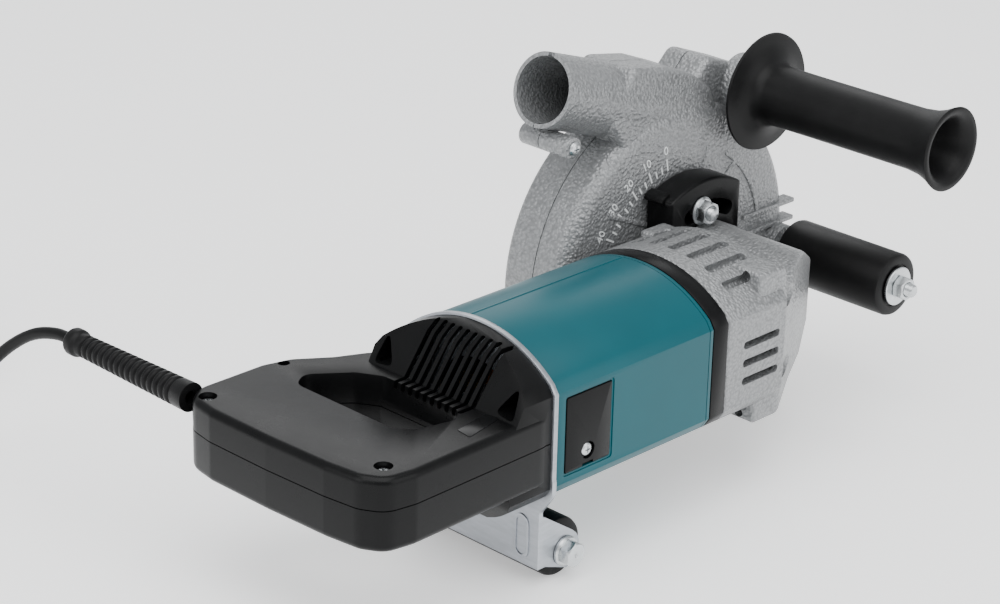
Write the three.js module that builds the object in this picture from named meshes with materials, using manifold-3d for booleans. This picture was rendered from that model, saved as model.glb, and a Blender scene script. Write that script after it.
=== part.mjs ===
// Wall chaser: a twin-blade groove cutter for masonry, with a swivelling blade hood on two guide rollers.
// Millimetres, +X towards the gear case, +Y towards the blades, +Z up. The motor axis is level and the tool
// stands on its rear roller and blade rims at z = 0, with the origin under the middle of its footprint.
import * as THREE from 'three';
import { mergeVertices } from 'three/addons/utils/BufferGeometryUtils.js';
import Module from 'manifold-3d';

const wasm = await Module();
wasm.setup();

// ---- Driving dimensions ----
const GAP = 0.3; // clearance kept between neighbouring pieces
const BLADE_RADIUS = 90;
const SPINDLE_HEIGHT = BLADE_RADIUS; // spindle and motor axis above the floor

const HOUSING = { halfWidth: 56, flatHalf: 29, wall: 4, rear: -228.3, front: -103.8 };
const SEAL = { rear: -103.5, front: -91.3 };
const CASE = { rear: -91, shoulder: -40, nose: 37, left: 40, hubRadius: 34.5, wall: 3.6, bossRadius: 35, bossEnd: 66 };
const PLATE = { rear: -231.6, front: -228.6, thick: 2.6, bottom: -78, earHalf: 48.5 };
const BRUSH_WINDOW = { rear: -221, front: -185.5, bottom: -22, top: 22.5 };

const AXLE_RADIUS = 4;
const REAR_ROLLER = { x: -210.8, z: 17 - SPINDLE_HEIGHT, y0: -44, y1: 44, radius: 17 };
const FRONT_ROLLER = { x: 92, z: -8.4, y0: -34, y1: 44.5, radius: 19.5 };

const HOOD = { near: 61, far: 108, seam: 84, radius: 103, edge: 10, wall: 3.5, sill: -32, bore: 35.5, access: 26, boss: [-94, 98] };
const PORT = { x: -98, z: 128.5, rise: 18.4, outer: 22, inner: 19.5, length: 75 };
const SIDE_HANDLE = { x: 57, z: 102, root: 51.5, end: -90, grip: 18.2, flange: 36, flare: 25 };

const SLOT = { radius: 44, half: 4.7, stud: 4, restAngle: 96.3, down: 32, up: 13 };
const CLAMP = { y0: 40.5, y1: 60.3, halfWidth: 31, outer: 62, foot: 18 };

const HANDLE = { front: -231.9, top: 18, bottom: -24, round: 9, wall: 3.5, bellBack: -266 };
const TRIGGER = { x0: -311, x1: -299, y0: -8, y1: 46, z0: -15, z1: 5, travel: 6 };
const LOCK_BUTTON = { x0: -310, x1: -302, y: 57, z: -5, radius: 4.5, travel: 4 };

const CORD = { radius: 3.5, guardX: -350, guardZ: 12.5, guardRoot: 93.8, guardTip: 195 };
const COIL = { x: -337, y: 413, radius: 41, layers: 4 };
const PLUG = { length: 52, radius: 16, pinRadius: 2.4, pinReach: 19, pinSpread: 9.5 };

const GEAR = { crownTeeth: 27, pinionTeeth: 8, crownRadius: 30, faceWidth: 9 };
const BLADES = { inner: 70.3, outer: 95.3, thick: 2.4, bore: 11.1 };

// ---- Colours and finishes ----
const finish = (color, roughness, metalness) => ({ color, roughness, metalness });
const TEAL = finish(0x14798a, 0.38, 0.05);
const BLACK = finish(0x1c1d1f, 0.55, 0);
const RUBBER = finish(0x161617, 0.8, 0);
const HAMMERTONE = finish(0xa7a9ac, 0.45, 0.5);
const ZINC = finish(0xb9bec4, 0.35, 0.9);
const STEEL = finish(0x8e9296, 0.4, 0.9);
const COPPER = finish(0xb4703c, 0.4, 0.8);
const BRASS = finish(0xb08d4a, 0.35, 0.9);
const CARBON = finish(0x2b2b2d, 0.7, 0.1);

// ---- Solid helpers ----
const solid = (geometry) => {
  const bare = geometry.index ? geometry.toNonIndexed() : geometry.clone();
  bare.deleteAttribute('normal');
  bare.deleteAttribute('uv');
  const merged = mergeVertices(bare, 1e-4);
  const mesh = new wasm.Mesh({
    numProp: 3,
    vertProperties: new Float32Array(merged.attributes.position.array),
    triVerts: new Uint32Array(merged.index.array),
  });
  return new wasm.Manifold(mesh);
};
const join = (...parts) => parts.reduce((sum, part) => sum.add(part));
const cut = (body, ...tools) => tools.reduce((rest, tool) => rest.subtract(tool), body);

const bodies = new THREE.Group();
const place = (name, part, look, parent = bodies) => {
  const { vertProperties, triVerts, numProp } = part.getMesh();
  const geometry = new THREE.BufferGeometry();
  const position = new THREE.InterleavedBuffer(vertProperties, numProp);
  geometry.setAttribute('position', new THREE.InterleavedBufferAttribute(position, 3, 0));
  geometry.setIndex(new THREE.BufferAttribute(triVerts, 1));
  const mesh = new THREE.Mesh(geometry, new THREE.MeshStandardMaterial(look));
  mesh.name = name;
  parent.add(mesh);
  return mesh;
};

const ALONG_X = new THREE.Matrix4().set(0, 0, 1, 0, 1, 0, 0, 0, 0, 1, 0, 0, 0, 0, 0, 1);
const extrude = (shape, depth, segments) =>
  new THREE.ExtrudeGeometry(shape, { depth, bevelEnabled: false, curveSegments: segments });
// prismX takes a (y, z) outline, prismY an (x, z) outline and prismZ an (x, y) outline.
const prismX = (shape, x0, x1, segments = 24) =>
  solid(extrude(shape, x1 - x0, segments).applyMatrix4(ALONG_X).translate(x0, 0, 0));
const prismY = (shape, y0, y1, segments = 24) =>
  solid(extrude(shape, y1 - y0, segments).rotateX(Math.PI / 2).translate(0, y1, 0));
const prismZ = (shape, z0, z1, segments = 24) =>
  solid(extrude(shape, z1 - z0, segments).translate(0, 0, z0));

const box = (x0, x1, y0, y1, z0, z1) => solid(
  new THREE.BoxGeometry(x1 - x0, y1 - y0, z1 - z0).translate((x0 + x1) / 2, (y0 + y1) / 2, (z0 + z1) / 2),
);
const rodY = (x, z, radius, y0, y1, sides = 24) =>
  solid(new THREE.CylinderGeometry(radius, radius, y1 - y0, sides).translate(x, (y0 + y1) / 2, z));
const rodX = (y, z, radius, x0, x1, sides = 24) =>
  solid(new THREE.CylinderGeometry(radius, radius, x1 - x0, sides).rotateZ(-Math.PI / 2)
    .translate((x0 + x1) / 2, y, z));
const rodZ = (x, y, radius, z0, z1, sides = 24) =>
  solid(new THREE.CylinderGeometry(radius, radius, z1 - z0, sides).rotateX(Math.PI / 2)
    .translate(x, y, (z0 + z1) / 2));
// A lathe profile is listed as pairs of radius and height, in either sense, and closes on the axis or on itself.
const lathe = (pairs, sides) => {
  const twiceArea = pairs.reduce((sum, [r, h], i) => {
    const [nextR, nextH] = pairs[(i + 1) % pairs.length];
    return sum + r * nextH - nextR * h;
  }, 0);
  const ordered = twiceArea > 0 ? pairs : [...pairs].reverse();
  const closed = ordered[0][0] > 0 || ordered.at(-1)[0] > 0 ? [...ordered, ordered[0]] : ordered;
  return new THREE.LatheGeometry(closed.map(([r, h]) => new THREE.Vector2(r, h)), sides);
};
const turnY = (x, z, pairs, sides = 40) => solid(lathe(pairs, sides).translate(x, 0, z));
const turnX = (pairs, sides = 40) => solid(lathe(pairs, sides).rotateZ(-Math.PI / 2));

const outline = (points) => {
  const shape = new THREE.Shape();
  points.forEach(([u, v], i) => (i === 0 ? shape.moveTo(u, v) : shape.lineTo(u, v)));
  shape.closePath();
  return shape;
};
const polar = (radius, degrees) => {
  const angle = THREE.MathUtils.degToRad(degrees);
  return [radius * Math.cos(angle), radius * Math.sin(angle)];
};

// Motor section: flat sides and a shallow arch above and below, inset by a wall.
const housingSection = (inset) => {
  const { halfWidth, flatHalf } = HOUSING;
  const arch = Math.hypot(halfWidth, 2 * flatHalf) - inset;
  const w = halfWidth - inset;
  const flat = Math.sqrt(arch * arch - w * w) - flatHalf;
  const spread = Math.asin(w / arch);
  const shape = new THREE.Shape();
  shape.moveTo(w, -flat);
  shape.lineTo(w, flat);
  shape.absarc(0, -flatHalf, arch, Math.PI / 2 - spread, Math.PI / 2 + spread, false);
  shape.lineTo(-w, -flat);
  shape.absarc(0, flatHalf, arch, -Math.PI / 2 - spread, -Math.PI / 2 + spread, false);
  shape.closePath();
  return shape;
};
const housingSlice = (inset, x0, x1) => prismX(housingSection(inset), x0, x1, 12);

// ---- Motor housing, brushes and field ----
function motorHousing() {
  const { rear, front, bottom, top } = BRUSH_WINDOW;
  const shell = cut(
    housingSlice(0, HOUSING.rear, HOUSING.front),
    housingSlice(HOUSING.wall, HOUSING.rear - 1, HOUSING.front + 1),
    box(rear, front, -60, 60, bottom, top),
  );
  place('motor_housing', shell, TEAL);

  const screwX = (rear + front) / 2;
  const screwZ = -13;
  for (const [side, label] of [[-1, 'right'], [1, 'left']]) {
    const ends = (a, b) => [Math.min(side * a, side * b), Math.max(side * a, side * b)];
    const cover = cut(
      box(rear + GAP, front - GAP, ...ends(HOUSING.halfWidth - 3.6, HOUSING.halfWidth), bottom + GAP, top - GAP),
      rodY(screwX, screwZ, 4.6, ...ends(HOUSING.halfWidth - 1.6, HOUSING.halfWidth + 1)),
      rodY(screwX, screwZ, 2.3, ...ends(HOUSING.halfWidth - 6, HOUSING.halfWidth + 1), 16),
    );
    place(`${label}_brush_cover`, cover, BLACK);
    const screw = join(
      rodY(screwX, screwZ, 3.8, ...ends(HOUSING.halfWidth - 1.3, HOUSING.halfWidth + 0.4), 20),
      rodY(screwX, screwZ, 2, ...ends(HOUSING.halfWidth - 9, HOUSING.halfWidth - 1), 12),
    );
    place(`${label}_brush_cover_screw`, screw, ZINC);
    const holder = cut(
      box(-209, -197, ...ends(21.5, 46), -6, 6),
      box(-207.3, -198.7, ...ends(20, 47), -4.3, 4.3),
    );
    place(`${label}_brush_holder`, holder, BRASS);
    place(`${label}_carbon_brush`, box(-207, -199, ...ends(19.5, 40), -4, 4), CARBON);
  }

  const stator = cut(
    rodX(0, 0, 46, -172, -122, 36),
    rodX(0, 0, 27.6, -173, -121, 30),
    box(-173, -121, -40, 40, -15, 15),
  );
  place('stator_core', stator, STEEL);
  for (const [side, label] of [[1, 'upper'], [-1, 'lower']]) {
    const coil = cut(
      rodX(0, 0, 38, -184, -172.3, 28),
      rodX(0, 0, 28, -185, -171, 24),
      box(-186, -170, -60, 60, ...(side > 0 ? [-60, 2] : [-2, 60])),
    );
    place(`${label}_field_coil`, coil, COPPER);
  }
}

// ---- Rotor: shaft with a pinion cut on its end, armature, commutator and fan ----
// A straight bevel gear about +Z with its pitch cone's point at the origin.
function bevelGear({ teeth, coneAngle, blankBack, blankHub }) {
  const along = [Math.sin(coneAngle), Math.cos(coneAngle)];
  const outward = [Math.cos(coneAngle), -Math.sin(coneAngle)];
  const pitch = (2 * Math.PI * gearCone * along[0]) / teeth;
  const addendum = 0.2 * pitch;
  const dedendum = 0.32 * pitch;
  const inner = (gearCone - GEAR.faceWidth) / gearCone;
  const at = (scale, height) => [0, 1].map((i) => scale * (gearCone * along[i] + height * outward[i]));
  const [rootR, rootZ] = at(1, -dedendum);
  const [tipR, tipZ] = at(inner, -dedendum);
  let gear = solid(
    lathe([[0, tipZ], [tipR, tipZ], [rootR, rootZ], [blankHub, blankBack], [0, blankBack]], teeth)
      .rotateX(Math.PI / 2),
  );
  const corners = [];
  for (const scale of [1, inner]) {
    for (const [height, half] of [[-dedendum - 0.4, 0.24], [addendum, 0.12]]) {
      for (const side of [-1, 1]) {
        const [r, z] = at(scale, height);
        corners.push(r, side * half * pitch * scale, z);
      }
    }
  }
  const tooth = new THREE.BufferGeometry();
  tooth.setAttribute('position', new THREE.Float32BufferAttribute(corners, 3));
  tooth.setIndex([
    0, 3, 1, 0, 2, 3, 4, 5, 7, 4, 7, 6, 0, 1, 5, 0, 5, 4,
    2, 7, 3, 2, 6, 7, 0, 6, 2, 0, 4, 6, 1, 3, 7, 1, 7, 5,
  ]);
  const step = (2 * Math.PI) / teeth;
  for (let i = 0; i < teeth; i += 1) {
    gear = gear.add(solid(tooth.clone().rotateZ(i * step)));
  }
  return gear;
}

const pinionRadius = (GEAR.crownRadius * GEAR.pinionTeeth) / GEAR.crownTeeth;
const gearCone = Math.hypot(GEAR.crownRadius, pinionRadius);
const ringX = (outer, inner, x0, x1, sides = 40) =>
  turnX([[inner, x0], [outer, x0], [outer, x1], [inner, x1]], sides);
const ringY = (outer, inner, y0, y1, sides = 40) =>
  turnY(0, 0, [[inner, y0], [outer, y0], [outer, y1], [inner, y1]], sides);

function rotor() {
  const pinion = bevelGear({
    teeth: GEAR.pinionTeeth,
    coneAngle: Math.atan2(pinionRadius, GEAR.crownRadius),
    blankBack: 36,
    blankHub: 6.5,
  });
  // The pinion's cone points forward, to where the motor and spindle axes cross.
  const shaft = join(
    turnX([[0, -226], [4, -226], [4, -212], [6, -212], [6, -106], [5, -106], [5, -34], [0, -34]], 20),
    pinion.rotate([0, -90, 0]),
  );
  place('rotor_shaft', shaft, STEEL);

  let core = ringX(26.8, 6.3, -170, -124, 36);
  let fan = ringX(40, 6.3, -114, -112, 30).add(ringX(11, 6.3, -120, -113, 20));
  for (let i = 0; i < 10; i += 1) {
    const [y, z] = polar(25.5, i * 36);
    core = core.subtract(rodX(y, z, 1.8, -171, -123, 6));
    fan = fan.add(box(-120, -113, 10, 39, -0.8, 0.8).rotate([i * 36, 0, 0]));
  }
  place('armature', core, STEEL);
  place('cooling_fan', fan, ZINC);
  place('commutator', ringX(19, 6.3, -210, -194, 36), COPPER);
  place('rear_bearing', ringX(11, 4.3, -225, -218, 20), STEEL);
  place('front_bearing', ringX(16, 5.3, -103, -94, 24), STEEL);
}

// ---- Gear case and output spindle ----
// The nose is a hub about the spindle, cut flat in front and narrowing away from the blades.
function caseNose(inset) {
  const { shoulder, nose, left, hubRadius } = CASE;
  const back = shoulder - 20;
  const tip = nose - inset;
  const r = hubRadius - inset;
  const neck = HOUSING.flatHalf + 17 - inset;
  const plan = outline([
    [back, inset - 52], [shoulder + 2, inset - 52], [tip, inset * 0.6 - 11], [tip, left - inset], [back, left - inset],
  ]);
  const [frontX, frontZ] = polar(r, 58);
  const side = new THREE.Shape();
  side.moveTo(back, -neck);
  side.lineTo(shoulder, -neck);
  side.lineTo(-12, inset - 38);
  side.lineTo(frontX, inset - 36);
  side.lineTo(tip, -22 + inset * 0.6);
  side.lineTo(tip, 18 - inset * 0.6);
  side.lineTo(frontX, frontZ);
  side.absarc(0, 0, r, THREE.MathUtils.degToRad(58), THREE.MathUtils.degToRad(130), false);
  side.lineTo(shoulder, neck);
  side.lineTo(back, neck);
  side.closePath();
  return prismY(side, -80, 80, 10).intersect(prismZ(plan, -80, 80));
}

function gearCase() {
  let sealPlate = cut(
    housingSlice(0, SEAL.rear, SEAL.front),
    rodX(0, 0, 16.3, SEAL.rear - 1, SEAL.front + 1, 24),
  );
  for (let i = 0; i < 6; i += 1) {
    const [y, z] = polar(31, i * 60);
    sealPlate = sealPlate.subtract(rodX(y, z, 8, SEAL.rear - 1, SEAL.front + 1, 14));
  }
  place('bearing_plate', sealPlate, BLACK);

  let shell = cut(
    join(
      housingSlice(0, CASE.rear, CASE.shoulder),
      caseNose(0),
      rodY(0, 0, CASE.bossRadius, 30, CASE.bossEnd, 40),
    ),
    housingSlice(CASE.wall + 1, CASE.rear - 1, CASE.shoulder - CASE.wall),
    caseNose(CASE.wall),
    rodY(0, 0, 20.3, 20, CASE.bossEnd - 6, 28),
    rodY(0, 0, 12, 30, CASE.bossEnd + 1),
    rodY(0, 0, 13.3, -17.3, 0),
  );
  // Cooling slots fan over both arches and lie along both flat sides.
  const arch = Math.hypot(HOUSING.halfWidth, 2 * HOUSING.flatHalf);
  for (let i = 0; i < 7; i += 1) {
    for (const turn of [0, Math.PI]) {
      const slot = new THREE.BoxGeometry(34, 3.4, 9).translate(-60, 0, arch - 2);
      slot.rotateX(THREE.MathUtils.degToRad(i * 10 - 30)).translate(0, 0, -HOUSING.flatHalf).rotateX(turn);
      shell = shell.subtract(solid(slot));
    }
  }
  for (const z of [-13, -2, 9]) {
    shell = cut(shell, box(-76, -45, -60, -48, z - 1.7, z + 1.7), box(-76, -45, 48, 60, z - 1.7, z + 1.7));
  }
  for (const [label, z] of [['upper', 22], ['lower', -22]]) {
    const y = -45;
    shell = cut(
      shell,
      rodX(y, z, 2.8, CASE.shoulder - 20, CASE.nose, 16),
      rodX(y, z, 5.4, CASE.shoulder - 3, CASE.nose, 20),
    );
    const screw = join(
      rodX(y, z, 4.6, CASE.shoulder - 3 + GAP, CASE.shoulder + 1.5, 20),
      rodX(y, z, 2.4, CASE.shoulder - 16, CASE.shoulder - 2, 12),
    );
    place(`${label}_case_screw`, screw, ZINC);
  }
  place('gear_case', shell, HAMMERTONE);

  const { y0, y1, halfWidth, outer, foot } = CLAMP;
  const shoulderAngle = Math.acos(halfWidth / outer);
  const slotMiddle = [SLOT.restAngle - SLOT.down, SLOT.restAngle + SLOT.up];
  const block = new THREE.Shape();
  block.moveTo(halfWidth, foot);
  block.absarc(0, 0, outer, shoulderAngle, Math.PI - shoulderAngle, false);
  block.lineTo(-halfWidth, foot);
  block.closePath();
  const slotShape = new THREE.Shape();
  const [low, high] = slotMiddle.map(THREE.MathUtils.degToRad);
  const end = (angle, from, to) => {
    const [u, v] = [SLOT.radius * Math.cos(angle), SLOT.radius * Math.sin(angle)];
    slotShape.absarc(u, v, SLOT.half, from, to, false);
  };
  slotShape.absarc(0, 0, SLOT.radius + SLOT.half, low, high, false);
  end(high, high, high + Math.PI);
  slotShape.absarc(0, 0, SLOT.radius - SLOT.half, high, low, true);
  end(low, low + Math.PI, low + 2 * Math.PI);
  const clamp = cut(
    join(prismY(block, y0, y1, 14), box(-halfWidth - 3, -halfWidth + 6, y0 + 6, y1, 50, 58)),
    prismY(slotShape, y0 - 1, y1 + 1, 8),
    rodY(0, 0, CASE.bossRadius + GAP, y0 - 1, y1 + 1, 40),
  );
  place('depth_clamp', clamp, BLACK);
}

function spindle() {
  place('spindle', turnY(0, 0, [
    [0, -18], [6, -18], [6, -8], [8.2, -8], [8.2, 26], [10, 26], [10, 60], [8, 60], [8, 106], [0, 106],
  ], 24), STEEL);
  const crown = bevelGear({
    teeth: GEAR.crownTeeth,
    coneAngle: Math.atan2(GEAR.crownRadius, pinionRadius),
    blankBack: 19,
    blankHub: 26,
  });
  place('crown_gear', crown.rotate([-90, 0, 0]).subtract(rodY(0, 0, 8.5, -5, 30)), STEEL);
  place('spindle_end_bearing', ringY(13, 6.3, -17, -9, 22), STEEL);
  place('spindle_main_bearing', ringY(20, 10.3, 30, 42, 28), STEEL);
  const { inner, outer, thick, bore } = BLADES;
  const blade = (y) => cut(
    rodY(0, 0, BLADE_RADIUS, y, y + thick, 48),
    rodY(0, 0, bore, y - 1, y + thick + 1, 24),
  );
  place('inner_flange', ringY(24, 8.3, CASE.bossEnd + GAP, inner - GAP, 28), STEEL);
  place('inner_blade', blade(inner), STEEL);
  place('blade_spacer', ringY(24, 8.3, inner + thick + GAP, outer - GAP, 28), STEEL);
  place('outer_blade', blade(outer), STEEL);
  const nutBack = outer + thick + GAP;
  place('blade_nut', ringY(22, 8.3, nutBack, nutBack + 7, 28), STEEL);
}

// ---- Blade hood with its dust port ----
function hoodBlock(inset) {
  const { near, far, radius, edge } = HOOD;
  const r = radius - inset;
  const profile = [
    [0, near + inset], [r - edge, near + inset], [r - edge * 0.3, near + inset + edge * 0.3], [r, near + inset + edge],
    [r, far - inset - edge * 0.6], [r - edge * 0.2, far - inset - edge * 0.2], [r - edge * 0.6, far - inset],
    [0, far - inset],
  ];
  const duct = outline([
    [-60, 102 + inset], [-42, 134 - inset], [12, 117 - inset], [27, 107 - inset], [35 - inset, 92], [40 - inset, 70], [-40, 70],
  ]);
  const rise = THREE.MathUtils.degToRad(PORT.rise);
  const pipeRadius = inset > 0 ? PORT.inner : PORT.outer;
  const pipe = new THREE.CylinderGeometry(pipeRadius, pipeRadius, PORT.length + inset * 2, 32);
  pipe.rotateZ(-Math.PI / 2).rotateY(rise);
  const reach = PORT.length / 2;
  pipe.translate(PORT.x + reach * Math.cos(rise), HOOD.seam, PORT.z - reach * Math.sin(rise));
  return join(
    turnY(0, 0, profile, 48),
    prismY(duct, near + 3 + inset, far - 4 - inset),
    solid(pipe),
  );
}

function hood() {
  const { near, far, seam, sill, bore, access } = HOOD;
  const lug = outline([[8, 100], [14, 113], [26, 125], [60, 113], [74, 103], [80, 66], [20, 66]]);
  const axleBoss = rodY(FRONT_ROLLER.x, FRONT_ROLLER.z, 13, near - 9, near + 7.5, 24);
  const guideRibs = [16, 5].map((z) => box(60, 108, near - 2, near + 7, z - 1.5, z + 1.5));
  const shell = cut(
    join(
      hoodBlock(0),
      prismY(lug, near + 6, far - 8),
      rodY(SIDE_HANDLE.x, SIDE_HANDLE.z, 19, SIDE_HANDLE.root + GAP, near + 8),
      axleBoss,
      rodY(HOOD.boss[0], HOOD.boss[1], 6.5, near + 1, far - 8, 20),
      ...guideRibs,
    ),
    hoodBlock(HOOD.wall).subtract(axleBoss),
    rodY(0, 0, bore, near - 5, near + 10, 40),
    rodY(0, 0, access, far - 12, far + 5, 36),
    box(-150, 150, near - 15, far + 5, -150, sill),
    rodY(FRONT_ROLLER.x, FRONT_ROLLER.z, AXLE_RADIUS + GAP, near - 12, near + 20, 20),
    rodY(SIDE_HANDLE.x, SIDE_HANDLE.z, 5.3, SIDE_HANDLE.root - 1, near + 16, 16),
    rodY(...polar(SLOT.radius, SLOT.restAngle), SLOT.stud + GAP, near - 2, near + 12, 20),
  );
  const spread = 200;
  const nearHalf = shell.intersect(box(-spread, spread, -spread, seam - GAP / 2, -spread, spread));
  const farHalf = shell.intersect(box(-spread, spread, seam + GAP / 2, spread, -spread, spread));
  place('hood_inner_half', nearHalf, HAMMERTONE);
  place('hood_outer_half', farHalf, HAMMERTONE);
}

const rollerTube = ({ x, z, y0, y1, radius }) => turnY(x, z, [
  [AXLE_RADIUS + GAP, y0], [radius - 3, y0], [radius, y0 + 3], [radius, y1 - 3], [radius - 3, y1], [AXLE_RADIUS + GAP, y1],
], 28);
const hexNut = (x, z, y0, y1) => cut(
  rodY(x, z, 7.4, y0, y1, 6),
  rodY(x, z, AXLE_RADIUS + GAP, y0 - 1, y1 + 1, 20),
);

function hoodFittings() {
  const { x, z, root, end, grip, flange, flare } = SIDE_HANDLE;
  place('side_handle', turnY(x, z, [
    [0, root], [12, root], [12, root - 3], [flange, root - 3.5], [flange, root - 6.5], [grip + 3, root - 9],
    [grip, root - 14], [grip, end + 26], [grip + 2, end + 12], [flare, end + 2],
    [flare - 4, end], [grip - 5, end + 14], [0, end + 20],
  ], 28), RUBBER);
  place('side_handle_bolt', rodY(x, z, 5, root + GAP, root + 24, 20), STEEL);

  const { x: axleX, z: axleZ, y0, y1 } = FRONT_ROLLER;
  place('front_roller', rollerTube(FRONT_ROLLER), RUBBER);
  place('front_axle', join(
    rodY(axleX, axleZ, AXLE_RADIUS, y0 - 14, HOOD.near + 7, 20),
    rodY(axleX, axleZ, 7.5, y1 + GAP, HOOD.near - 9 - GAP),
  ), STEEL);
  place('front_axle_washer', cut(
    rodY(axleX, axleZ, 12, y0 - 2.4, y0 - 0.4),
    rodY(axleX, axleZ, AXLE_RADIUS + GAP, y0 - 4, y0),
  ), ZINC);
  place('front_axle_nut', hexNut(axleX, axleZ, y0 - 9.5, y0 - 2.7), ZINC);

  const [studX, studZ] = polar(SLOT.radius, SLOT.restAngle);
  place('depth_stud', rodY(studX, studZ, SLOT.stud, CLAMP.y0 - 11, HOOD.near + 8, 20), ZINC);
  const { y0: face } = CLAMP;
  place('depth_nut', cut(
    join(rodY(studX, studZ, 8.6, face - 2, face - GAP), hexNut(studX, studZ, face - 8.2, face - 1.8)),
    rodY(studX, studZ, SLOT.stud + GAP, face - 3, face + 1, 20),
  ), ZINC);
}

// ---- Rear shield plate, bent down into the roller's ears ----
function rollerBracket() {
  const { rear, front, thick, bottom, earHalf } = PLATE;
  const edge = HOUSING.halfWidth + 1.6;
  const legs = outline([
    [-edge, -20], [-edge, -31], [-earHalf, -44], [-earHalf, bottom], [earHalf, bottom], [earHalf, -44],
    [edge, -31], [edge, -20],
  ]);
  const { x: axleX, z: axleZ } = REAR_ROLLER;
  const ear = outline([
    [rear, -46], [rear + 6, -48], [axleX + 6, axleZ + 8], [axleX + 10.5, axleZ + 2], [axleX + 4, axleZ - 12],
    [axleX - 2, axleZ - 13], [rear, bottom],
  ]);
  let plate = cut(
    join(
      housingSlice(-1.2, rear, front),
      prismX(legs, rear, front),
      prismY(ear, -earHalf, thick - earHalf, 8),
      prismY(ear, earHalf - thick, earHalf, 8),
    ),
    rodX(0, 0, 30, rear - 1, front + 1, 32),
    rodY(axleX, axleZ, AXLE_RADIUS + GAP, -60, 60, 20),
  );
  for (const y of [-46, 46]) plate = plate.subtract(rodX(y, 27, 2.9, rear - 1, front + 1, 16));
  place('roller_bracket', plate, ZINC);
  place('rear_roller', rollerTube(REAR_ROLLER), RUBBER);
  place('rear_axle_bolt', join(
    rodY(axleX, axleZ, AXLE_RADIUS, -earHalf - 4, earHalf + 9, 20),
    rodY(axleX, axleZ, 7.4, -earHalf - 9, -earHalf - 2, 6),
    rodY(axleX, axleZ, 8.6, -earHalf - 2.1, -earHalf - GAP),
  ), ZINC);
  place('rear_axle_nut', hexNut(axleX, axleZ, earHalf + GAP, earHalf + 7), ZINC);
}

// ---- Rear handle: two shells parted level with the motor axis ----
function handleBlank(inset) {
  const { top, bottom, round, front, bellBack } = HANDLE;
  const plan = outline([
    [front + 0.5, -56.5], [-331, -58], [-347, -54.5], [-355, -43], [-359, -20], [-361, 22], [-361, 66],
    [-357, 84], [-347, 92.5], [-302, 93.5], [-288, 90], [-268, 77], [-250, 68], [-240, 60], [front + 0.5, 56.5],
  ]);
  plan.holes.push(outline([
    [-306, -12], [-299, -22], [-274, -28], [-266, -23], [-265, 36], [-273, 50], [-295, 67], [-306, 60],
  ]));
  const slab = new THREE.ExtrudeGeometry(plan, {
    depth: top - bottom - 2 * round,
    bevelThickness: round - inset,
    bevelSize: round - inset,
    bevelOffset: -round,
    bevelSegments: 2,
    curveSegments: 8,
  }).translate(0, 0, bottom + round);
  const crown = Math.hypot(HOUSING.halfWidth, 2 * HOUSING.flatHalf) - HOUSING.flatHalf - inset;
  const bell = outline([
    [front, -crown], [front - 20, inset - 46], [bellBack + 4 + inset, -28], [bellBack + inset, 0],
    [bellBack + 5 + inset, 12], [front - 12, 44 - inset], [front - 5, crown - 3], [front, crown],
  ]);
  const face = inset > 0 ? front + 1 : front;
  const bellBody = prismY(bell, -70, 70).intersect(housingSlice(inset, bellBack - 5, front));
  const trim = box(-400, face, -150, 150, -80, 80);
  const mouth = inset > 0 ? housingSlice(inset, front - 2, front + 2) : bellBody;
  return join(solid(slab).intersect(trim), bellBody, mouth);
}

function rearHandle() {
  const { wall, top, front } = HANDLE;
  const { x0, x1, y0, y1, z0, z1, travel } = TRIGGER;
  const lock = LOCK_BUTTON;
  const screwRest = top - 5;
  const gripScrews = [['left', -350, 80], ['right', -339, -42]];
  let shell = cut(
    handleBlank(0),
    handleBlank(wall),
    box(x0 - 4, x1 + 2, y0 - 1, y1 + 1, z0 - 1, z1 + 1),
    rodX(lock.y, lock.z, lock.radius + GAP, lock.x0 - 6, lock.x1 + 6, 24),
    rodY(CORD.guardX, CORD.guardZ - 9, 7, 80, 100, 24),
  );
  for (const [, x, y] of gripScrews) {
    shell = join(shell, rodZ(x, y, 6.6, 3, top - 1, 24));
    shell = cut(shell, rodZ(x, y, 4.8, screwRest, top + 8, 24), rodZ(x, y, 2.5, -5, top, 16));
  }
  for (const y of [-46, 46]) {
    shell = join(shell, rodX(y, 27, 7, front - 12, front, 20).intersect(handleBlank(0)));
    shell = cut(shell, rodX(y, 27, 5.6, front - 40, front - 5, 24), rodX(y, 27, 2.6, front - 10, front + 3, 16));
  }
  for (let i = 0; i < 6; i += 1) {
    const slot = new THREE.BoxGeometry(26, 3.4, 40).rotateY(-0.5).translate(front - 24, i * 8 - 20, 28);
    shell = shell.subtract(solid(slot));
  }
  place('handle_upper_shell', shell.intersect(box(-400, 0, -150, 150, GAP / 2, 90)), BLACK);
  place('handle_lower_shell', shell.intersect(box(-400, 0, -150, 150, -90, -GAP / 2)), BLACK);

  for (const [label, x, y] of gripScrews) {
    place(`${label}_grip_screw`, join(
      rodZ(x, y, 4, screwRest + GAP, screwRest + 3, 20),
      rodZ(x, y, 2, 4, screwRest + 1, 12),
    ), ZINC);
  }
  for (const [label, y] of [['right', -46], ['left', 46]]) {
    place(`${label}_bell_screw`, join(
      rodX(y, 27, 4.8, front - 9, front - 5 - GAP, 20),
      rodX(y, 27, 2.2, front - 6, front - 0.5, 12),
    ), ZINC);
  }
  const paddle = outline([[x0, y0], [x1 - 2, y0], [x1, y0 + 8], [x1, y1 - 8], [x1 - 2, y1], [x0, y1]]);
  place('trigger', prismZ(paddle, z0, z1), BLACK);
  place('lock_button', rodX(lock.y, lock.z, lock.radius, lock.x0, lock.x1, 24), BLACK);
  place('switch_body', box(-351, x0 - travel - 1, -2, 38, -14, 10), BLACK);
}

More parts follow.
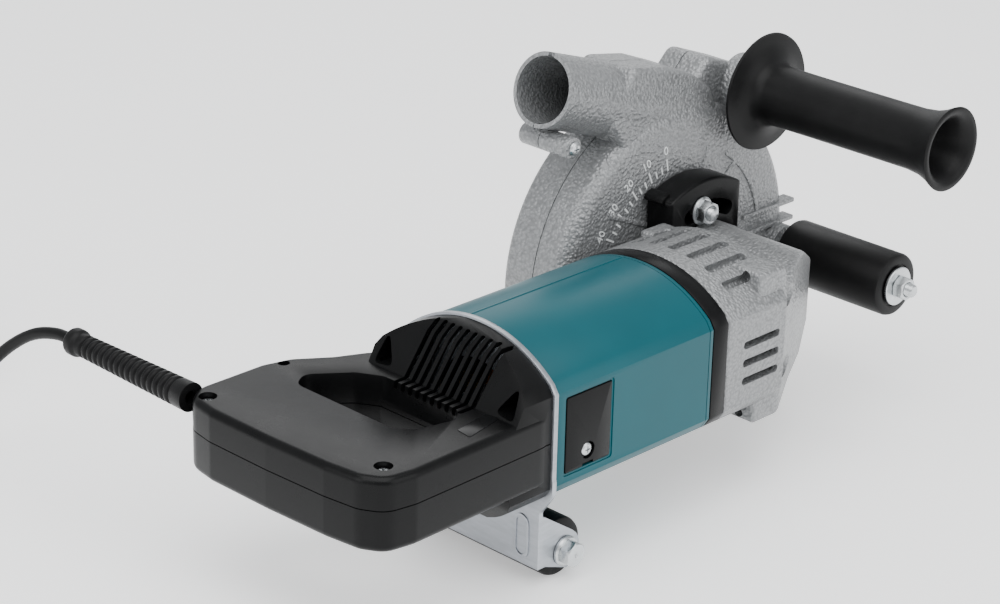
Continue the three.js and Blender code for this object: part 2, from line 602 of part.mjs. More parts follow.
// ---- Mains lead: guard, lead, stored coil and plug ----
function mainsLead() {
  const { radius, guardX, guardZ, guardRoot, guardTip } = CORD;
  const profile = [
    [0, guardRoot], [8.4, guardRoot], [8.4, guardRoot + 8], [6.6, guardTip - 9], [7.9, guardTip - 7],
    [7.9, guardTip - 1.5], [6.5, guardTip], [0, guardTip],
  ];
  place('cord_guard', turnY(guardX, guardZ, profile, 20), RUBBER);

  const floor = -SPINDLE_HEIGHT;
  const outerTurn = COIL.radius + radius * (COIL.layers - 1);
  const coilEdge = COIL.radius + radius * COIL.layers;
  const leadX = COIL.x - outerTurn;
  const meetY = COIL.y - Math.sqrt(coilEdge ** 2 - (outerTurn - radius) ** 2) - 1;
  const route = [
    [guardX, guardTip + GAP, guardZ], [guardX - 0.3, 208, 12], [-352.5, 226, 7], [-356, 243, -4],
    [-361, 260, -21], [-366, 276, -41], [-371, 293, -62], [-378, 313, -79], [leadX + 3, 334, floor + radius + 0.6],
    [leadX + 0.5, 350, floor + radius], [leadX, 366, floor + radius], [leadX, meetY, floor + radius],
  ].map((point) => new THREE.Vector3(...point));
  const section = new THREE.Shape();
  section.absarc(0, 0, radius, 0, 2 * Math.PI, false);
  const lead = new THREE.ExtrudeGeometry(section, {
    steps: 36,
    extrudePath: new THREE.CatmullRomCurve3(route, false, 'centripetal'),
    curveSegments: 4,
    bevelEnabled: false,
  });
  place('power_cord', solid(lead), RUBBER);

  const height = 2 * radius * COIL.layers;
  const bore = COIL.radius - radius * COIL.layers;
  const chamfer = radius * 0.8;
  const ring = lathe([
    [bore, chamfer], [bore + chamfer, 0], [coilEdge - chamfer, 0], [coilEdge, chamfer],
    [coilEdge, height - chamfer], [coilEdge - chamfer, height], [bore + chamfer, height], [bore, height - chamfer],
  ], 36).rotateX(Math.PI / 2).translate(COIL.x, COIL.y, floor);
  place('cord_coil', solid(ring), RUBBER);

  const tieX = COIL.x + COIL.radius;
  const tie = (grow, along) => box(
    COIL.x + bore - grow, COIL.x + coilEdge + grow, COIL.y - along, COIL.y + along,
    floor - grow, floor + height + grow,
  );
  place('coil_tie', cut(
    tie(2, 4),
    tie(2 * GAP, 5),
    box(tieX - 30, tieX + 30, COIL.y - 6, COIL.y + 6, floor - 5, floor + GAP),
  ), BLACK);

  const { length, radius: plugRadius, pinRadius, pinReach, pinSpread } = PLUG;
  const plugX = COIL.x + 33;
  const plugY = COIL.y + outerTurn;
  const plugZ = floor + plugRadius;
  const plugEnd = plugX + length;
  const plug = join(
    turnX([
      [0, plugX], [5.5, plugX], [6.5, plugX + 16], [12, plugX + 22], [plugRadius, plugX + 34],
      [plugRadius, plugEnd - 2], [plugRadius - 2, plugEnd], [0, plugEnd],
    ], 24).translate([0, plugY, plugZ]),
    rodX(plugY - pinSpread, plugZ, pinRadius, plugEnd - 4, plugEnd + pinReach, 12),
    rodX(plugY + pinSpread, plugZ, pinRadius, plugEnd - 4, plugEnd + pinReach, 12),
  );
  place('mains_plug', plug, RUBBER);
}

motorHousing();
rotor();
gearCase();
spindle();
hood();
hoodFittings();
rollerBracket();
rearHandle();
mainsLead();

// The footprint is that of everything but the mains lead.
const footprint = new THREE.Box3();
const LEAD_NODES = ['cord_guard', 'power_cord', 'cord_coil', 'coil_tie', 'mains_plug'];
for (const mesh of bodies.children) {
  if (!LEAD_NODES.includes(mesh.name)) footprint.expandByObject(mesh);
}
const middle = footprint.getCenter(new THREE.Vector3());
bodies.position.set(-middle.x, -middle.y, SPINDLE_HEIGHT);
const group = new THREE.Group();
group.add(bodies);
export default group;
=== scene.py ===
import logging
import math
from dataclasses import dataclass, field
from enum import Enum
from typing import Iterable, Sequence

import bpy
from mathutils import Matrix, Vector

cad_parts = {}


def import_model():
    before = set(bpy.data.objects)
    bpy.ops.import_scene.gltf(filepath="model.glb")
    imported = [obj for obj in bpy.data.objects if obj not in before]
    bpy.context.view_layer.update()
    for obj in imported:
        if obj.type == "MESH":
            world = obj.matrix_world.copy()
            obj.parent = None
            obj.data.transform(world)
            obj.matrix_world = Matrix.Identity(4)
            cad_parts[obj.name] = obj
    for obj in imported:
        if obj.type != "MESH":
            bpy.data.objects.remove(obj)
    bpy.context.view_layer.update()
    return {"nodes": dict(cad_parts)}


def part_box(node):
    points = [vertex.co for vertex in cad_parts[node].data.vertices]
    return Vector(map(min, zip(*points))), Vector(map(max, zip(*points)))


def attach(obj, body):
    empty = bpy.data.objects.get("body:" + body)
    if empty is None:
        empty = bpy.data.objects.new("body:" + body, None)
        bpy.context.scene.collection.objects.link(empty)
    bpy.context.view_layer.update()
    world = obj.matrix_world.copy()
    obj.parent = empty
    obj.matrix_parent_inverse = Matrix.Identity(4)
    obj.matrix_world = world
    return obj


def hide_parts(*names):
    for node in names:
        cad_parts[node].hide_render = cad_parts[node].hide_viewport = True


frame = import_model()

# Looks of a wall chaser: a twin-blade groove cutter with a swivelling hood, guide rollers and a D handle.
#
# Sizes are millimetres in the tool's own frame: the origin is where the spindle axis crosses the motor's
# middle plane, +X runs forward along the motor, +Y along the spindle to the blades, and +Z up.

MM = 0.001
MERGE = 0.004 * MM
LOG = logging.getLogger("wall_chaser")
Point = Sequence[float]
Outline = list[tuple[float, float]]


class Axis(Enum):
    """A direction of the tool's own frame."""

    X = 0
    Y = 1
    Z = 2

    @property
    def vector(self) -> Vector:
        """Unit vector along the axis."""
        return Vector([1.0 if i == self.value else 0.0 for i in range(3)])

    def point(self, u: float, v: float, along: float) -> tuple[float, float, float]:
        """A point whose two cross coordinates, in X, Y, Z order, are u and v.

        Args:
            u: first cross coordinate.
            v: second cross coordinate.
            along: coordinate on this axis.

        Returns:
            The point as x, y, z.
        """
        spot = [u, v]
        spot.insert(self.value, along)
        return tuple(spot)


class Side(Enum):
    """The two sides of the motor; the blades are on the left."""

    RIGHT = -1
    LEFT = 1


def find_datum() -> Vector:
    """Where the tool's own origin lies in the row's frame, read from the frame's blades and motor.

    Returns:
        The point in metres.
    """
    blade_low, blade_high = (Vector(corner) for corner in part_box("inner_blade"))
    motor_low, motor_high = (Vector(corner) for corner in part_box("motor_housing"))
    blade = (blade_low + blade_high) / 2
    return Vector((blade.x, (motor_low.y + motor_high.y) / 2, blade.z))


DATUM = find_datum()


def world(point: Point) -> Vector:
    """The row-frame place, in metres, of a point of the tool's own frame."""
    return DATUM + Vector(point) * MM


def arc(centre: tuple[float, float], radius: float, start: float, end: float, steps: int) -> Outline:
    """Points along an arc, both ends included.

    Args:
        centre: the arc's centre.
        radius: its radius.
        start: first angle in degrees.
        end: last angle in degrees.
        steps: number of chords.

    Returns:
        The points in order.
    """
    angles = [math.radians(start + (end - start) * i / steps) for i in range(steps + 1)]
    return [(centre[0] + radius * math.cos(a), centre[1] + radius * math.sin(a)) for a in angles]


def polar(radius: float, degrees: float) -> tuple[float, float]:
    """The point at a radius and an angle about the origin."""
    return (radius * math.cos(math.radians(degrees)), radius * math.sin(math.radians(degrees)))


def rounded(corners: Outline, radius: float, steps: int = 5) -> Outline:
    """An outline whose corners are rounded off.

    Args:
        corners: the sharp outline in order.
        radius: the largest fillet radius; short edges get a smaller one.
        steps: chords to each corner.

    Returns:
        The rounded outline.
    """
    points: Outline = []
    count = len(corners)
    for i, corner in enumerate(corners):
        here = Vector(corner)
        back = Vector(corners[i - 1]) - here
        ahead = Vector(corners[(i + 1) % count]) - here
        half = back.angle(ahead) / 2
        reach = min(radius / max(math.tan(half), 0.05), back.length * 0.45, ahead.length * 0.45)
        first = here + back.normalized() * reach
        last = here + ahead.normalized() * reach
        for k in range(steps + 1):
            t = k / steps
            spot = first * (1 - t) ** 2 + here * 2 * t * (1 - t) + last * t ** 2
            points.append((spot.x, spot.y))
    return points


class Bench:
    """The work bench: makes, cuts, joins and finishes solids with edit-mode tools."""

    @staticmethod
    def release() -> None:
        """Leave edit mode and deselect everything."""
        if bpy.context.mode != "OBJECT":
            bpy.ops.object.mode_set(mode="OBJECT")
        bpy.ops.object.select_all(action="DESELECT")

    @staticmethod
    def pick(*pieces: bpy.types.Object) -> bpy.types.Object:
        """Select only these pieces, the first of them active.

        Returns:
            The active piece.
        """
        Bench.release()
        for piece in pieces:
            piece.select_set(True)
        bpy.context.view_layer.objects.active = pieces[0]
        return pieces[0]

    @staticmethod
    def settle(name: str) -> bpy.types.Object:
        """Name the active piece and bring its origin to the world's origin.

        Args:
            name: the piece's name.

        Returns:
            The piece.
        """
        piece = bpy.context.view_layer.objects.active
        piece.name = name
        piece.data.name = name
        bpy.ops.object.transform_apply(location=True, rotation=True, scale=True)
        return piece

    @staticmethod
    def chain(name: str, points: Iterable[Point], closed: bool = False) -> bpy.types.Object:
        """A wire drawn point by point by extruding a single vertex.

        Args:
            name: the piece's name.
            points: places in the tool's own frame.
            closed: whether the last point joins the first.

        Returns:
            The wire, still in edit mode.
        """
        places = [world(p) for p in points]
        Bench.release()
        bpy.ops.mesh.primitive_plane_add(size=MM, location=places[0])
        wire = Bench.settle(name)
        bpy.ops.object.mode_set(mode="EDIT")
        bpy.ops.mesh.select_mode(type="VERT")
        bpy.ops.mesh.select_all(action="SELECT")
        bpy.ops.mesh.merge(type="CENTER")
        path = places + [places[0]] if closed else places
        for here, there in zip(path, path[1:]):
            bpy.ops.mesh.extrude_region_move(TRANSFORM_OT_translate={"value": there - here})
        bpy.ops.mesh.select_all(action="SELECT")
        bpy.ops.mesh.remove_doubles(threshold=MERGE)
        return wire

    @staticmethod
    def close(piece: bpy.types.Object) -> bpy.types.Object:
        """Point all faces outward and leave edit mode."""
        bpy.ops.mesh.select_all(action="SELECT")
        bpy.ops.mesh.remove_doubles(threshold=MERGE)
        bpy.ops.mesh.normals_make_consistent(inside=False)
        bpy.ops.object.mode_set(mode="OBJECT")
        return piece

    @staticmethod
    def prism(name: str, outline: Outline, axis: Axis, low: float, high: float) -> bpy.types.Object:
        """A flat outline filled and extruded along an axis.

        Args:
            name: the piece's name.
            outline: cross coordinates in X, Y, Z order.
            axis: direction of the extrusion.
            low: where it starts.
            high: where it ends.

        Returns:
            The solid.
        """
        solid = Bench.chain(name, [axis.point(u, v, low) for u, v in outline], closed=True)
        bpy.ops.mesh.edge_face_add()
        bpy.ops.mesh.extrude_region_move(TRANSFORM_OT_translate={"value": axis.vector * (high - low) * MM})
        return Bench.close(solid)

    @staticmethod
    def lathe(name: str, profile: Outline, axis: Axis, at: tuple[float, float],
              steps: int = 72) -> bpy.types.Object:
        """A profile of radius and height spun round a line parallel to an axis.

        Args:
            name: the piece's name.
            profile: pairs of radius and place along the axis.
            axis: direction of the line.
            at: the line's cross coordinates.
            steps: facets round the turn.

        Returns:
            The solid of revolution.
        """
        closed = profile[0][0] > 0 and profile[-1][0] > 0
        places = [axis.point(at[0] + r, at[1], h) for r, h in profile]
        solid = Bench.chain(name, places, closed=closed)
        bpy.ops.mesh.spin(
            steps=steps, angle=2 * math.pi, center=world(axis.point(at[0], at[1], 0.0)), axis=axis.vector
        )
        return Bench.close(solid)

    @staticmethod
    def rod(name: str, axis: Axis, at: tuple[float, float], radius: float, low: float, high: float,
            sides: int = 48) -> bpy.types.Object:
        """A round bar parallel to an axis.

        Args:
            name: the piece's name.
            axis: its direction.
            at: its cross coordinates.
            radius: its radius.
            low: where it starts.
            high: where it ends.
            sides: facets round it.

        Returns:
            The bar.
        """
        turn = {Axis.X: (0, math.pi / 2, 0), Axis.Y: (math.pi / 2, 0, 0), Axis.Z: (0, 0, 0)}[axis]
        Bench.release()
        bpy.ops.mesh.primitive_cylinder_add(
            vertices=sides, radius=radius * MM, depth=abs(high - low) * MM,
            location=world(axis.point(at[0], at[1], (low + high) / 2)), rotation=turn,
        )
        return Bench.settle(name)

    @staticmethod
    def block(name: str, low: Point, high: Point) -> bpy.types.Object:
        """A box between two corners.

        Args:
            name: the piece's name.
            low: lowest corner.
            high: highest corner.

        Returns:
            The box.
        """
        centre = (Vector(low) + Vector(high)) / 2
        Bench.release()
        bpy.ops.mesh.primitive_cube_add(size=1, location=world(centre))
        bpy.context.view_layer.objects.active.scale = (Vector(high) - Vector(low)) * MM
        return Bench.settle(name)

    @staticmethod
    def _combine(piece: bpy.types.Object, tools: Sequence[bpy.types.Object],
                 operation: str) -> bpy.types.Object:
        """Apply one boolean with each tool in turn, and remove the tools."""
        for tool in tools:
            Bench.pick(piece)
            step = piece.modifiers.new(operation, "BOOLEAN")
            step.operation = operation
            step.solver = "MANIFOLD"
            step.object = tool
            bpy.ops.object.modifier_apply(modifier=step.name)
            bpy.data.objects.remove(tool, do_unlink=True)
        return piece

    @staticmethod
    def cut(piece: bpy.types.Object, *tools: bpy.types.Object) -> bpy.types.Object:
        """Cut the tools' shapes out of a piece."""
        return Bench._combine(piece, tools, "DIFFERENCE")

    @staticmethod
    def weld(piece: bpy.types.Object, *others: bpy.types.Object) -> bpy.types.Object:
        """Join other solids to a piece into one skin."""
        return Bench._combine(piece, others, "UNION")

    @staticmethod
    def keep(piece: bpy.types.Object, *molds: bpy.types.Object) -> bpy.types.Object:
        """Keep only what lies inside each mold."""
        return Bench._combine(piece, molds, "INTERSECT")

    @staticmethod
    def group(name: str, *pieces: bpy.types.Object) -> bpy.types.Object:
        """Gather separate solids into one piece.

        Args:
            name: the gathered piece's name.
            pieces: what to gather.

        Returns:
            The gathered piece.
        """
        Bench.pick(*pieces)
        bpy.ops.object.join()
        return Bench.settle(name)

    @staticmethod
    def soften(piece: bpy.types.Object, width: float, steps: int = 2,
               sharpest: float = 35.0) -> bpy.types.Object:
        """Break the sharp edges and shade the rest smooth.

        Args:
            piece: the piece.
            width: width of the broken edge.
            steps: facets across it.
            sharpest: edges sharper than this many degrees are broken.

        Returns:
            The piece.
        """
        Bench.pick(piece)
        if width > 0:
            edge = piece.modifiers.new("Edges", "BEVEL")
            edge.width = width * MM
            edge.segments = steps
            edge.limit_method = "ANGLE"
            edge.angle_limit = math.radians(sharpest)
            edge.use_clamp_overlap = True
            bpy.ops.object.modifier_apply(modifier=edge.name)
        bpy.ops.object.shade_smooth_by_angle(angle=math.radians(sharpest))
        return piece

    @staticmethod
    def swing(piece: bpy.types.Object, axis: Axis, degrees: float, centre: Point) -> bpy.types.Object:
        """Turn a piece about a line through a point.

        Args:
            piece: the piece.
            axis: the line's direction.
            degrees: right-handed angle.
            centre: a point on the line.

        Returns:
            The piece.
        """
        pivot = world(centre)
        turn = Matrix.Rotation(math.radians(degrees), 4, axis.vector)
        Bench.pick(piece)
        about = Matrix.Translation(pivot) @ turn @ Matrix.Translation(-pivot)
        piece.matrix_world = about @ piece.matrix_world
        bpy.ops.object.transform_apply(location=True, rotation=True, scale=True)
        return piece

    @staticmethod
    def twin(piece: bpy.types.Object, name: str, shift: Point) -> bpy.types.Object:
        """A copy with its own mesh, moved.

        Args:
            piece: the piece to copy.
            name: the copy's name.
            shift: how far to move it.

        Returns:
            The copy.
        """
        Bench.pick(piece)
        bpy.ops.object.duplicate(linked=False)
        copy = bpy.context.view_layer.objects.active
        copy.location = copy.location + Vector(shift) * MM
        return Bench.settle(name)


# ---- Finishes ----
class Maths:
    """A shader value that can be added, multiplied and shaped like a number."""

    def __init__(self, wiring: "Wiring", socket: bpy.types.NodeSocket) -> None:
        """Wrap one output socket."""
        self.wiring = wiring
        self.socket = socket

    def _step(self, operation: str, *values: "Maths | float", clamp: bool = False) -> "Maths":
        """One Math node fed with this value's operands."""
        made = self.wiring.add("ShaderNodeMath", operation=operation, use_clamp=clamp)
        for slot, value in zip(made.inputs, values):
            self.wiring.feed(slot, value)
        return Maths(self.wiring, made.outputs[0])

    def __add__(self, other: "Maths | float") -> "Maths":
        """Sum."""
        return self._step("ADD", self, other)

    def __radd__(self, other: float) -> "Maths":
        """Sum with a number first."""
        return self._step("ADD", other, self)

    def __sub__(self, other: "Maths | float") -> "Maths":
        """Difference."""
        return self._step("SUBTRACT", self, other)

    def __rsub__(self, other: float) -> "Maths":
        """Difference from a number."""
        return self._step("SUBTRACT", other, self)

    def __mul__(self, other: "Maths | float") -> "Maths":
        """Product."""
        return self._step("MULTIPLY", self, other)

    def __rmul__(self, other: float) -> "Maths":
        """Product with a number first."""
        return self._step("MULTIPLY", other, self)

    def __truediv__(self, other: "Maths | float") -> "Maths":
        """Quotient."""
        return self._step("DIVIDE", self, other)

    def __rtruediv__(self, other: float) -> "Maths":
        """Number divided by this value."""
        return self._step("DIVIDE", other, self)

    def __pow__(self, other: "Maths | float") -> "Maths":
        """Power."""
        return self._step("POWER", self, other)

    def limited(self) -> "Maths":
        """The value held between 0 and 1."""
        return self._step("ADD", self, 0.0, clamp=True)

    def between(self, low: float, high: float) -> "Maths":
        """0 below low, 1 above high, and a straight ramp between."""
        return ((self - low) / (high - low)).limited()


class Wiring:
    """The node tree of one material."""

    def __init__(self, name: str) -> None:
        """Start a material with a bare surface shader."""
        self.material = bpy.data.materials.new(name)
        self.material.use_nodes = True
        self.tree = self.material.node_tree
        self.surface = self.tree.nodes["Principled BSDF"]
        self.place = self.add("ShaderNodeTexCoord").outputs["Object"]

    def add(self, kind: str, inputs: dict[str, object] | None = None, **settings: object) -> bpy.types.Node:
        """Any node, with its settings and inputs.

        Args:
            kind: the node's type.
            inputs: values or sockets by input name.
            settings: the node's own properties.

        Returns:
            The node.
        """
        made = self.tree.nodes.new(kind)
        for key, value in settings.items():
            setattr(made, key, value)
        for key, value in (inputs or {}).items():
            self.feed(made.inputs[key], value)
        return made

    def feed(self, slot: bpy.types.NodeSocket, value: object) -> None:
        """Link a value or socket to an input, or set it there."""
        if isinstance(value, Maths):
            value = value.socket
        if isinstance(value, bpy.types.NodeSocket):
            self.tree.links.new(value, slot)
        else:
            slot.default_value = value

    def noise(self, scale: float, detail: float = 3.0, rough: float = 0.55,
              stretch: tuple[float, float, float] = (1, 1, 1)) -> Maths:
        """Cloudy variation in object space.

        Args:
            scale: repeats to a metre.
            detail: octaves.
            rough: weight of the finer octaves.
            stretch: scale along each axis.

        Returns:
            A value about 0.5.
        """
        spot = self.add("ShaderNodeMapping", {"Vector": self.place, "Scale": stretch})
        made = self.add(
            "ShaderNodeTexNoise",
            {"Vector": spot.outputs[0], "Scale": scale, "Detail": detail, "Roughness": rough},
        )
        return Maths(self, made.outputs[0])

    def cells(self, scale: float, soft: float = 0.6) -> Maths:
        """Soft rounded cells, such as hammered paint has.

        Args:
            scale: cells to a metre.
            soft: how far the cells melt together.

        Returns:
            The distance to the cell's middle.
        """
        wobble = self.noise(scale * 0.8, 2.0)
        shift = self.add("ShaderNodeVectorMath", {0: self.place}, operation="ADD")
        scaled = wobble * (0.6 / scale)
        self.feed(shift.inputs[1], scaled)
        made = self.add(
            "ShaderNodeTexVoronoi", {"Vector": shift.outputs[0], "Scale": scale}, feature="SMOOTH_F1",
        )
        made.inputs["Smoothness"].default_value = soft
        return Maths(self, made.outputs["Distance"])

    def blend(self, amount: Maths, low: tuple[float, ...], high: tuple[float, ...]) -> bpy.types.NodeSocket:
        """Colour between two colours.

        Args:
            amount: 0 for low, 1 for high.
            low: first colour.
            high: second colour.

        Returns:
            The colour socket.
        """
        made = self.add("ShaderNodeMix", data_type="RGBA")
        self.feed(made.inputs["Factor"], amount)
        made.inputs["A"].default_value = (*low, 1)
        made.inputs["B"].default_value = (*high, 1)
        return made.outputs["Result"]

    def bump(self, height: Maths, depth: float, strength: float = 1.0) -> bpy.types.NodeSocket:
        """A surface relief.

        Args:
            height: the relief, from 0 to 1.
            depth: its full depth in millimetres.
            strength: how strongly it shows.

        Returns:
            The normal socket.
        """
        made = self.add("ShaderNodeBump", {"Strength": strength, "Distance": depth * MM, "Height": height})
        return made.outputs["Normal"]


@dataclass(frozen=True)
class Finish:
    """A plain finish: base colour with slight cloudiness, grain and a broken gloss."""

    name: str
    colour: tuple[float, float, float]
    rough: float = 0.5
    metallic: float = 0.0
    coat: float = 0.0
    mottle: float = 0.08
    mottle_scale: float = 60.0
    grain_scale: float = 1800.0
    grain_depth: float = 0.02
    gloss_spread: float = 0.1
    reflect: float = 0.5
    glow: float = 0.0
    stretch: tuple[float, float, float] = (1, 1, 1)

    def shades(self) -> tuple[tuple[float, ...], tuple[float, ...]]:
        """The darker and lighter ends of the colour's variation."""
        dark = tuple(c * (1 - self.mottle) for c in self.colour)
        light = tuple(min(1.0, c * (1 + self.mottle)) for c in self.colour)
        return dark, light

    def constants(self, surface: bpy.types.Node, coat_rough: float) -> None:
        """Set the sockets that stay the same all over.

        Args:
            surface: the surface shader.
            coat_rough: roughness of its coat.
        """
        surface.inputs["Metallic"].default_value = self.metallic
        surface.inputs["Specular IOR Level"].default_value = self.reflect
        surface.inputs["Coat Weight"].default_value = self.coat
        surface.inputs["Coat Roughness"].default_value = coat_rough

    def make(self) -> bpy.types.Material:
        """The finish as a material."""
        wiring = Wiring(self.name)
        cloud = wiring.noise(self.mottle_scale, 4.0, stretch=self.stretch)
        grain = wiring.noise(self.grain_scale, 2.0, stretch=self.stretch)
        surface = wiring.surface
        wiring.feed(surface.inputs["Base Color"], wiring.blend(cloud.between(0.3, 0.7), *self.shades()))
        gloss = self.rough + (cloud - 0.5) * self.gloss_spread + (grain - 0.5) * self.gloss_spread
        wiring.feed(surface.inputs["Roughness"], gloss)
        self.constants(surface, 0.25)
        surface.inputs["Emission Color"].default_value = (1, 1, 1, 1)
        surface.inputs["Emission Strength"].default_value = self.glow
        wiring.feed(surface.inputs["Normal"], wiring.bump(grain, self.grain_depth))
        return wiring.material


@dataclass(frozen=True)
class Hammered(Finish):
    """Silver hammer-finish paint: melted dimples in a bright, slightly metallic coat."""

    cell_scale: float = 520.0
    cell_depth: float = 1.0

    def make(self) -> bpy.types.Material:
        """The finish as a material."""
        wiring = Wiring(self.name)
        cell = wiring.cells(self.cell_scale)
        cloud = wiring.noise(self.mottle_scale, 4.0)
        fleck = wiring.noise(self.grain_scale, 2.0)
        rim = cell.between(0.15, 0.75)
        tone = (0.72 - rim * 0.6 + (cloud - 0.5) * 0.15 + (fleck - 0.5) * 0.35).limited()
        surface = wiring.surface
        wiring.feed(surface.inputs["Base Color"], wiring.blend(tone, *self.shades()))
        wiring.feed(surface.inputs["Roughness"], self.rough + (rim - 0.5) * self.gloss_spread)
        self.constants(surface, 0.2)
        wiring.feed(surface.inputs["Normal"], wiring.bump(rim * -1.0 + fleck * 0.06, self.cell_depth, 0.55))
        return wiring.material


@dataclass(frozen=True)
class Diamond(Finish):
    """Sintered diamond segment: dark grit in a metal bond."""

    grit_scale: float = 2200.0
    grit_depth: float = 0.12

    def make(self) -> bpy.types.Material:
        """The finish as a material."""
        wiring = Wiring(self.name)
        grit = wiring.cells(self.grit_scale, 0.2)
        surface = wiring.surface
        wiring.feed(surface.inputs["Base Color"], wiring.blend(grit.between(0.1, 0.6), *self.shades()))
        wiring.feed(surface.inputs["Roughness"], self.rough + (grit - 0.4) * self.gloss_spread)
        self.constants(surface, 0.25)
        wiring.feed(surface.inputs["Normal"], wiring.bump(grit, self.grit_depth))
        return wiring.material


class Stock:
    """Every finish of the tool, made once and kept by name."""

    FINISHES: tuple[Finish, ...] = (
        Finish("teal_plastic", (0.0, 0.070, 0.088), rough=0.34, reflect=0.25, mottle=0.05, mottle_scale=25,
               grain_depth=0.012, gloss_spread=0.06),
        Finish("black_plastic", (0.003, 0.0031, 0.0033), rough=0.3, reflect=0.14, mottle=0.12,
               grain_scale=2200, grain_depth=0.05, gloss_spread=0.12),
        Finish("black_gloss", (0.004, 0.0042, 0.0045), rough=0.24, reflect=0.2, mottle=0.1, grain_depth=0.01,
               gloss_spread=0.08),
        Finish("black_rubber", (0.005, 0.005, 0.0052), rough=0.42, reflect=0.15, mottle=0.16,
               grain_scale=1500, grain_depth=0.06, gloss_spread=0.16),
        Finish("cord_rubber", (0.004, 0.004, 0.0042), rough=0.42, reflect=0.14, mottle=0.12,
               grain_scale=2600, grain_depth=0.03),
        Hammered("hammered_silver", (0.25, 0.255, 0.26), rough=0.36, metallic=0.4, coat=0.1, mottle=0.3,
                 mottle_scale=160, grain_scale=2600, gloss_spread=0.08),
        Finish("zinc", (0.58, 0.60, 0.61), rough=0.3, metallic=1.0, mottle=0.12, mottle_scale=120,
               grain_depth=0.006, gloss_spread=0.18),
        Finish("zinc_sheet", (0.40, 0.42, 0.45), rough=0.34, metallic=0.9, mottle=0.1, mottle_scale=70,
               grain_scale=900, grain_depth=0.008, gloss_spread=0.16, stretch=(1, 1, 6)),
        Finish("turned_steel", (0.42, 0.43, 0.44), rough=0.32, metallic=1.0, mottle=0.15, mottle_scale=90,
               grain_scale=1400, grain_depth=0.012, gloss_spread=0.2, stretch=(1, 7, 1)),
        Finish("blade_steel", (0.36, 0.37, 0.38), rough=0.36, metallic=1.0, mottle=0.14, mottle_scale=50,
               grain_scale=1100, grain_depth=0.01, gloss_spread=0.22),
        Diamond("diamond_grit", (0.13, 0.12, 0.10), rough=0.7, metallic=0.55, mottle=0.5, gloss_spread=0.2),
        Finish("sheet_iron", (0.20, 0.20, 0.21), rough=0.48, metallic=0.9, mottle=0.2, grain_scale=700,
               grain_depth=0.03, stretch=(14, 1, 1)),
        Finish("enamelled_copper", (0.50, 0.19, 0.075), rough=0.34, metallic=0.85, coat=0.4, mottle=0.18,
               mottle_scale=150, grain_scale=900, grain_depth=0.15),
        Finish("bare_copper", (0.62, 0.29, 0.15), rough=0.3, metallic=1.0, mottle=0.16, grain_depth=0.02),
        Finish("brass", (0.58, 0.42, 0.17), rough=0.32, metallic=1.0, mottle=0.12, grain_depth=0.012),
        Finish("carbon", (0.022, 0.022, 0.023), rough=0.6, metallic=0.1, mottle=0.25, grain_depth=0.05),
        Finish("cast_aluminium", (0.55, 0.56, 0.57), rough=0.46, metallic=0.95, mottle=0.14, grain_scale=1300,
               grain_depth=0.06),
        Finish("white_print", (0.74, 0.76, 0.76), rough=0.5, mottle=0.05, grain_depth=0.01),
        Finish("strap_black", (0.013, 0.013, 0.014), rough=0.85, mottle=0.3, mottle_scale=900,
               grain_scale=3000, grain_depth=0.12),
        Finish("studio_floor", (0.93, 0.93, 0.93), rough=0.75, glow=0.5, mottle=0.01, mottle_scale=3,
               grain_scale=400, grain_depth=0.05, gloss_spread=0.05),
    )

    def __init__(self) -> None:
        """Make every material."""
        self.made = {finish.name: finish.make() for finish in self.FINISHES}

    def dress(self, piece: bpy.types.Object, *names: str) -> None:
        """Give a piece its materials, the first of them all over."""
        piece.data.materials.clear()
        for name in names:
            piece.data.materials.append(self.made[name])


class Store:
    """Books each finished piece in: its finish, the body it rides on and the CAD nodes it stands for."""

    def __init__(self, stock: Stock) -> None:
        """Keep the stock of finishes."""
        self.stock = stock

    def book(self, piece: bpy.types.Object, finish: str, body: str,
             nodes: Sequence[str] = ()) -> bpy.types.Object:
        """Dress a piece and tell the frame about it.

        Args:
            piece: the finished piece.
            finish: name of its finish.
            body: the body that it moves with.
            nodes: CAD nodes that it stands for.

        Returns:
            The piece.
        """
        self.stock.dress(piece, finish)
        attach(piece, body)
        if nodes:
            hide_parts(*nodes)
        LOG.info("piece %s on %s, %d faces", piece.name, body, len(piece.data.polygons))
        return piece


# ---- Motor housing ----
@dataclass
class MotorSection:
    """Cross-section that the housing, seal ring, gear case and shield plate share."""

    half_width: float = 56.0
    flat_half: float = 29.0

    def outline(self, inset: float = 0.0, steps: int = 28, fillet: float = 2.2) -> Outline:
        """The section in (y, z): flat sides with a shallow arch above and below.

        Args:
            inset: how far inside the outer surface.
            steps: chords along each arch.
            fillet: how much the arch's corners are eased.

        Returns:
            The closed outline.
        """
        radius = math.hypot(self.half_width, 2 * self.flat_half) - inset
        width = self.half_width - inset
        rise = math.sqrt(radius * radius - width * width) - self.flat_half
        spread = math.degrees(math.asin(width / radius))
        upper = arc((0, -self.flat_half), radius, 90 - spread, 90 + spread, steps)
        lower = arc((0, self.flat_half), radius, 270 - spread, 270 + spread, steps)
        eased = [
            [(width, rise - fillet)], upper[1:-1], [(-width, rise - fillet)],
            [(-width, fillet - rise)], lower[1:-1], [(width, fillet - rise)],
        ]
        return [spot for run in eased for spot in run]

    def arch_radius(self) -> float:
        """Radius of the outer arch."""
        return math.hypot(self.half_width, 2 * self.flat_half)


SECTION = MotorSection()


